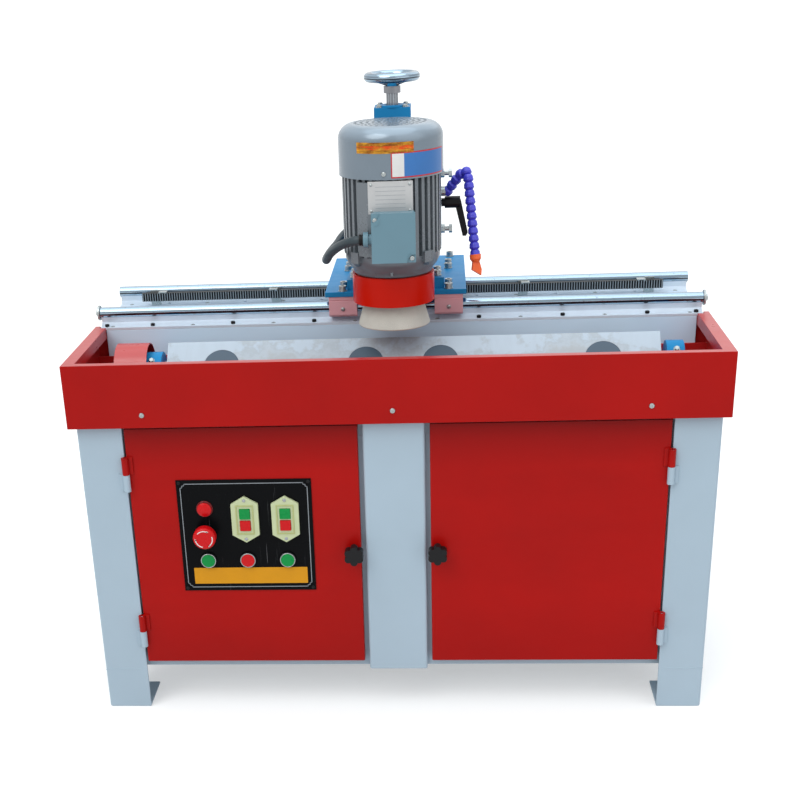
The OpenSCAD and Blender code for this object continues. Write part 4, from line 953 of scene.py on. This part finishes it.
weldSeams()
paintSheets()
makeSheetScrews()
makeLouvres()
makeSealHoles()
print("sheet metal is dressed")

drive = {
    "axis": (0, 398),
    "columnBack": 353.4,
    "plate": 706.4,
    "flange": (49, 7),  # half its width, and how thick
    "boltApart": 38,  # each bolt from the axis, both ways
    "bolt": (8, 4, 11),
    "boxTop": 771.4,
    "top": 889.4,
    "cap": [(43.6, -7), (43.6, 2), (41.5, 5.5), (36, 7.2), (9, 7.6)],
    "hole": [(2.6, -0.6), (2.6, 0.1), (2.3, 0.2)],
    "holeRings": [(14, 6), (24, 10), (34, 14)],  # radius, and how many
    "holesUp": 7.4,
    "bearingScrews": [(-428, 157.7, 615.3), (480, 157.7, 615.3)],
}


def makeDrive():
    x, d = drive["axis"]
    (half, thick), low, top = drive["flange"], drive["plate"], drive["top"]
    flange = block("driveFlange", (x - half, drive["columnBack"], low - 0.2),
                   (x + half, d + half, low + thick), 1.2, 3)
    fitted(flange, "motor", "motor_paint", "carriage")
    bolt = hexBolt(*drive["bolt"])
    apart = (-drive["boltApart"], drive["boltApart"])
    corners = [(x + a, d + b, drive["boxTop"] - 0.1) for a in apart for b in apart]
    bolted(copies(bolt, "driveBolts", "up", corners), "carriage")
    cap = smoothed(turned("fanCap", drive["cap"], 64))
    cap.data.transform(moved(x, d, top))
    fitted(cap, "motor", "motor_paint", "carriage")
    # near-black dots in rings on the fan cap: painted shade for the holes of the fan cover
    hole = turned("fanHole", drive["hole"], 16)
    rings = [(radius, 2 * math.pi * i / count) for radius, count in drive["holeRings"]
             for i in range(count)]
    spots = [(x + radius * math.cos(angle), d + radius * math.sin(angle), top + drive["holesUp"])
             for radius, angle in rings]
    fitted(copies(hole, "fanHoles", "up", spots), "hole", "motor_paint", "carriage")
    studs = [copied(bolt, moved(*place) @ spun(45, "X")) for place in drive["bearingScrews"]]
    bolted(joined("bearingScrews", studs), "base")
    discard(hole, bolt)


makeDrive()
print("travel drive is dressed")

panel = {
    "front": 13,
    "low": (-376.2, 236.5),
    "high": (-142.3, 444.5),
    "border": 7,
    "notch": 7,
    "line": 1.3,
    "strip": ((-357, 250), (-156, 280.5)),
    "columns": (-329.25, -259.25, -189.25),
    "cornerScrew": (6, 1.4, 5),  # head's width and height, and how far from the edges
    "buttonRow": 296,
    "ring": (12.6, 0.9, 7.6),  # its radius, its wire's radius and how far back it sits
    "lamp": 392,
    "skirt": [(14.6, 0), (14.6, 2.0), (13.4, 3.2), (13.1, 5.2)],
    "stop": 347.5,
    "stopFront": -18.5,
    "arrow": (13.8, 15.5, 0.0, 0.5),
    "arrowSweep": (76, 62),  # how many degrees long, and where the first one starts
    "arrowTip": (14.8, 0.6, 0),
    "units": 372.5,
    "unitFront": 7,
    "unitScrews": 35.5,  # above and below the middle
    "unitRim": (31, 54, 2.4, 1.6),  # wide, high, the rim's width and how proud
}


def borderRuns():
    # a square border whose corners step inwards
    (x0, z0), (x1, z1) = panel["low"], panel["high"]
    inset, notch = panel["border"], panel["notch"]
    left, right, low, high = x0 + inset, x1 - inset, z0 + inset, z1 - inset
    runs = [((left + notch, z), (right - notch, z)) for z in (low, high)]
    runs += [((x, low + notch), (x, high - notch)) for x in (left, right)]
    for z, up in ((low, notch), (high, -notch)):
        for x, inwards in ((left, notch), (right, -notch)):
            farX, farZ = x + inwards, z + up
            bentX, bentZ = x + inwards * 0.45, z + up * 0.45
            runs += [((x, farZ), (bentX, farZ)), ((bentX, bentZ), (bentX, farZ)),
                     ((bentX, bentZ), (farX, bentZ)), ((farX, z), (farX, bentZ))]
    return runs


def makePanelPrint():
    front, half = panel["front"], panel["line"] / 2
    lines = []
    for (xa, za), (xb, zb) in borderRuns():
        low = (min(xa, xb) - half, front - 0.15, min(za, zb) - half)
        high = (max(xa, xb) + half, front + 0.2, max(za, zb) + half)
        lines.append(block("line", low, high, 0))
    fitted(joined("panelBorder", lines), "line", "panel_plate", "left_door")
    (x0, z0), (x1, z1) = panel["strip"]
    strip = block("panelStrip", (x0, front - 0.4, z0), (x1, front + 0.2, z1), 0.15)
    fitted(strip, "strip", "panel_plate", "left_door")


def makePanelScrews():
    (x0, z0), (x1, z1) = panel["low"], panel["high"]
    wide, high, inset = panel["cornerScrew"]
    screw = crossScrew(wide, high)
    corners = [(x, panel["front"], z) for x in (x0 + inset, x1 - inset)
               for z in (z0 + inset, z1 - inset)]
    fitted(copies(screw, "panelScrews", "front", corners), "black", "panel_plate", "left_door")
    points = [(x, panel["unitFront"], panel["units"] + up) for x in panel["columns"][1:]
              for up in (-panel["unitScrews"], panel["unitScrews"])]
    fitted(copies(screw, "unitScrews", "front", points), "screw", "cream_plastic", "left_door")
    discard(screw)


def makeUnitFrames():
    # the frames take creamRim, whose darker cream is a painted shade along the recess outline
    frames = [rimmed("frame", (x, panel["unitFront"] + 0.4, panel["units"]), *panel["unitRim"])
              for x in panel["columns"][1:]]
    fitted(joined("unitFrames", frames), "creamRim", "cream_plastic", "left_door")


def makeRings():
    # bright rings round the buttons, and the lamp's skirt
    radius, wire, depth = panel["ring"]
    ring = added("torus", "ringPattern", major_radius=radius / 1000, minor_radius=wire / 1000,
                 major_segments=48, minor_segments=10)
    bpy.ops.object.shade_smooth()
    places = [(x, depth, panel["buttonRow"]) for x in panel["columns"]]
    fitted(copies(ring, "buttonRings", "front", places), "zinc", "bezel_metal", "left_door")
    skirt = smoothed(turned("skirtPattern", panel["skirt"], 48))
    places = [(panel["columns"][0], panel["front"], panel["lamp"])]
    fitted(copies(skirt, "lampSkirt", "front", places), "darkRed", "red_plastic", "left_door")
    discard(ring, skirt)


def makeStopArrows():
    # three white arrows that show the way to release the button
    marks = []
    sweep, start = panel["arrowSweep"]
    for i in range(3):
        arc = swept("arc", panel["arrow"], sweep, 16)
        tip = turned("tip", [(2.3, 0.0), (2.3, 0.5)], 3)
        tip.data.transform(Matrix.Translation(Vector(panel["arrowTip"]) / 1000) @ spun(-30))
        arrow = joined("arrow", [arc, tip])
        arrow.data.transform(spun(i * 120 + start))
        marks.append(arrow)
    whole = joined("stopArrows", marks)
    place = moved(panel["columns"][0], panel["stopFront"], panel["stop"])
    whole.data.transform(place @ turns["front"])
    fitted(whole, "white", "red_plastic", "estop_button")


makePanelPrint()
makePanelScrews()
makeUnitFrames()
makeRings()
makeStopArrows()
print("control panel is dressed")

motor = {
    "axis": (0, 180),
    "cowl": 86.5,
    "strip": (-37, 27, 959.5, 976.5),  # from and to in degrees round the front, low and high edge
    "label": (2, 74, 921.5, 961),
    "white": (1.2, 14),  # its white part, in degrees from its left edge
    "plate": ((-35.5, 866), (37, 917)),
    "padFront": 96,
    "rules": (6, 12, 9, 0.6),  # how many, in from the sides and ends, how thick
    "rivetInset": 5,
    "rivet": [(2.6, 0), (2.5, 0.6), (1.7, 1.2), (0.7, 1.5)],
    "screw": (8, 2.4),
    "cowlScrews": (-6, 110, 234, 180),
    "cowlScrewsUp": 928,
    "lidScrews": [(-24, 66.0, 861), (35, 66.0, 800)],
    "lidFront": 63,
    "pocket": (7.6, 8.5, -0.2, 0.7),
    "bellBolts": (45, 135, 225, 315),
    "bellBolt": (8, 4, 11),
    "bellBoltRing": (80.5, 783.2),  # how far from the axis, and at what height
    "rib": (2.4, -81, -64, 762, 787),  # half its width, its front and back, low and high
    "ribFoot": (1, 0.42, 1),
}


def wrapped(name, start, end, low, high, lift, finish):
    # a sheet glued round the cowl, between two angles right of the front
    sheet = swept(name, (motor["cowl"] - 0.4, motor["cowl"] + lift, low, high), end - start,
                  max(4, int((end - start) / 3)))
    sheet.data.transform(moved(*motor["axis"], 0) @ spun(start - 90))
    smoothed(sheet)
    fitted(sheet, finish, "motor_paint", "head")


def makeLabels():
    wrapped("goldStrip", *motor["strip"], 0.35, "gold")
    wrapped("labelBorder", *motor["label"], 0.35, "redPrint")
    left, right, low, high = motor["label"]
    start, end = motor["white"]
    wrapped("labelWhite", left + start, left + end, low + 2, high - 2, 0.55, "white")
    wrapped("labelBlue", left + end, right - 1, low + 2, high - 2, 0.55, "bluePrint")


def makeRatingPlate():
    (x0, z0), (x1, z1) = motor["plate"]
    front = motor["padFront"]
    plate = block("ratingPlate", (x0, front - 0.7, z0), (x1, front + 0.2, z1), 0.25)
    fitted(plate, "label", "motor_paint", "head")
    count, side, end, thick = motor["rules"]
    rows = [z0 + end + i * (z1 - z0 - 2 * end) / (count - 1) for i in range(count)]
    rules = [block("rule", (x0 + side, front - 0.8, z), (x1 - side, front - 0.6, z + thick), 0)
             for z in rows]
    fitted(joined("plateRules", rules), "line", "motor_paint", "head")
    rivet = smoothed(turned("rivetPattern", motor["rivet"], 20), 60)
    inset = motor["rivetInset"]
    corners = [(x, front - 0.7, z) for x in (x0 + inset, x1 - inset)
               for z in (z0 + inset, z1 - inset)]
    bolted(copies(rivet, "plateRivets", "front", corners), "head")
    discard(rivet)


def makeMotorScrews():
    screw = crossScrew(*motor["screw"])
    bolted(copies(screw, "lidScrews", "front", motor["lidScrews"]), "head")
    pockets = []
    for (x, _, z), start in zip(motor["lidScrews"], (-90, 90)):
        pocket = swept("arc", motor["pocket"], 90, 8)
        pocket.data.transform(moved(x, motor["lidFront"], z) @ turns["front"] @ spun(start))
        pockets.append(pocket)
    fitted(joined("lidPockets", pockets), "box", "box_paint", "head")
    out = Matrix.Translation((0, -motor["cowl"] / 1000, 0)) @ turns["front"]
    middles = moved(*motor["axis"], motor["cowlScrewsUp"])
    heads = [copied(screw, middles @ spun(angle) @ out) for angle in motor["cowlScrews"]]
    bolted(joined("cowlScrews", heads), "head")
    discard(screw)


def makeBellDetail():
    # a rib on the end bell's front, and the bolts that hold the motor down
    x, d = motor["axis"]
    half, near, far, low, high = motor["rib"]
    rib = plateAt("bellRib", x, (half, d + near, d + far, low, high), 0)
    drawnIn(rib, -1, motor["ribFoot"], at(x, d + far, low))
    bevelled(rib, 0.8)
    fitted(rib, "motor", "motor_paint", "head")
    bolt = hexBolt(*motor["bellBolt"])
    radius, height = motor["bellBoltRing"]
    out = Matrix.Translation((radius / 1000, 0, 0)) @ spun(180, "X")
    bolts = [copied(bolt, moved(x, d, height) @ spun(angle) @ out) for angle in motor["bellBolts"]]
    fitted(joined("bellBolts", bolts), "darkSteel", "zinc_steel", "head")
    discard(bolt)


makeLabels()
makeRatingPlate()
makeMotorScrews()
makeBellDetail()
print("motor plates are on")

lead = {
    "gland": (-45, 82, 828),
    "radius": 7.5,
    "route": [(0, 0, 0), (-8, 0, 0), (-21, 6, -3), (-40, 29, -13), (-59, 62, -31), (-68, 90, -48),
              (-70, 108, -51), (-69, 128, -50), (-64, 156, -45), (-54, 186, -38), (-49, 214, -32),
              (-39, 240, -27), (-23, 260, -24), (-17, 272, -23), (-17, 284, -23)],  # off the gland
    "held": ((-10, 4), (0, -14)),  # across and back from its ends; the points they give are worked out but not used
    "boot": [(9.2, 0), (9.2, 3.2), (8.4, 3.8), (8.4, 5.0), (9.0, 5.4), (9.0, 7.6), (8.2, 8.2)],
}


def makeLead():
    route = [tuple(a + b for a, b in zip(lead["gland"], turn)) for turn in lead["route"]]
    bpy.ops.object.select_all(action="DESELECT")
    bpy.ops.curve.primitive_nurbs_path_add()
    piece = bpy.context.object
    piece.name = "motorLead"
    curve = piece.data
    curve.splines.clear()
    line = curve.splines.new("NURBS")
    line.points.add(len(route) - 1)
    line.use_endpoint_u = True
    line.order_u = 3
    for point, place in zip(line.points, route):
        point.co = (*at(*place), 1)
    curve.dimensions = "3D"
    curve.resolution_u = 6
    curve.bevel_depth = lead["radius"] / 1000
    curve.bevel_resolution = 5
    curve.use_fill_caps = True
    pick(piece)
    bpy.ops.object.convert(target="MESH")
    piece = bpy.context.object
    settled(piece)
    bpy.ops.object.shade_smooth()
    piece.data.materials.append(finishes["lead"])
    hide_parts("head_lead", "carriage_lead")
    start, end = [tuple(at(x + across, d + back, z))
                  for (x, d, z), (across, back) in zip((route[0], route[-1]), lead["held"])]
    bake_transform(piece)
    x, d, z = lead["gland"]
    boot = smoothed(turned("leadBoot", lead["boot"], 40), 40)
    boot.data.transform(moved(x + 2, d, z) @ turns["left"])
    fitted(boot, "black", "lead_sheath", "head")


makeLead()
print("lead is in")

hose = {
    "root": (93, 283, 870),
    "pitch": 12.5,
    "radius": 8.6,
    "bead": [(0.62, -0.80), (0.86, -0.56), (0.985, -0.24), (0.985, 0.10), (1.04, 0.16),
             (1.04, 0.40), (0.94, 0.46), (0.86, 0.62), (0.66, 0.74)],  # shares of the radius
    "rise": [50] * 3 + [22, -52] + [-77] * 10,  # each bead's way to the next, in degrees
    "heading": [-26] * 4 + [-66] * 11,
    "armBeads": 5,
}


def makeHose():
    # each bead is a ball with a flared cup behind it that takes the next ball
    radius = hose["radius"]
    bead = turned("beadPattern", [(radius * a, radius * b) for a, b in hose["bead"]], 28)
    bevelled(bead, 0.3, 1)
    smoothed(bead, 50)
    spot = at(*hose["root"])
    spots = []
    for rise, heading in zip(hose["rise"], hose["heading"]):
        rise, heading = math.radians(rise), math.radians(heading)
        level = math.cos(rise)
        way = Vector((level * math.cos(heading), level * math.sin(heading), math.sin(rise)))
        spots.append((spot.copy(), way))
        spot += way * hose["pitch"] / 1000
    spots.append((spot, way))
    arm = hose["armBeads"]
    for node, members in (("hose_arm", spots[:arm]), ("hose_drop", spots[arm:])):
        beads = [copied(bead, Matrix.LocRotScale(place, way.to_track_quat("Z", "Y"), None))
                 for place, way in members]
        fitted(joined(node + "Beads", beads), "hose", "hose_plastic", node, node)
    discard(bead)


makeHose()
print("hose is in")

wheel = {
    "axis": (0, 306),
    "top": 1010,
    "ribs": 12,
    "rib": (1.3, 10.0, 3, 0.6, 21.5),  # half its width, its radius and depth, from and to
    "cover": [(24, 0), (24, 2.4), (22.6, 3.4), (14, 3.4), (13, 2.6)],
    "hub": 16,
    "nut": 14,
    "sleeve": (1032.5, 1043.5),
}


def makeWheelDetail():
    half, radius, deep, low, high = wheel["rib"]
    top = wheel["top"]
    ribs = []
    for i in range(wheel["ribs"]):
        rib = block("rib", (-half, middle - radius, top + low),
                    (half, middle - radius + deep, top + high), 0.4, 1)
        rib.data.transform(moved(*wheel["axis"], 0) @ spun(i * 360 / wheel["ribs"]))
        ribs.append(rib)
    fitted(joined("sleeveRibs", ribs), "matteSteel", "rim_chrome", "handwheel")
    cover = smoothed(turned("bearingCover", wheel["cover"], 56))
    cover.data.transform(moved(*wheel["axis"], top - 0.2))
    fitted(cover, "blue", "blue_paint", "carriage")


def paintWheel():
    low, high = wheel["sleeve"]
    hub, nut = wheel["hub"], wheel["nut"]

    def out(x, d):
        return math.hypot(x - wheel["axis"][0], d - wheel["axis"][1])

    repaint("handwheel", "rack", lambda x, d, z: z < low and out(x, d) < hub)
    repaint("handwheel", "matteSteel", lambda x, d, z: low <= z < high and out(x, d) < hub)
    repaint("handwheel", "blue", lambda x, d, z: z >= high and out(x, d) < nut)


makeWheelDetail()
paintWheel()
print("handwheel is finished")
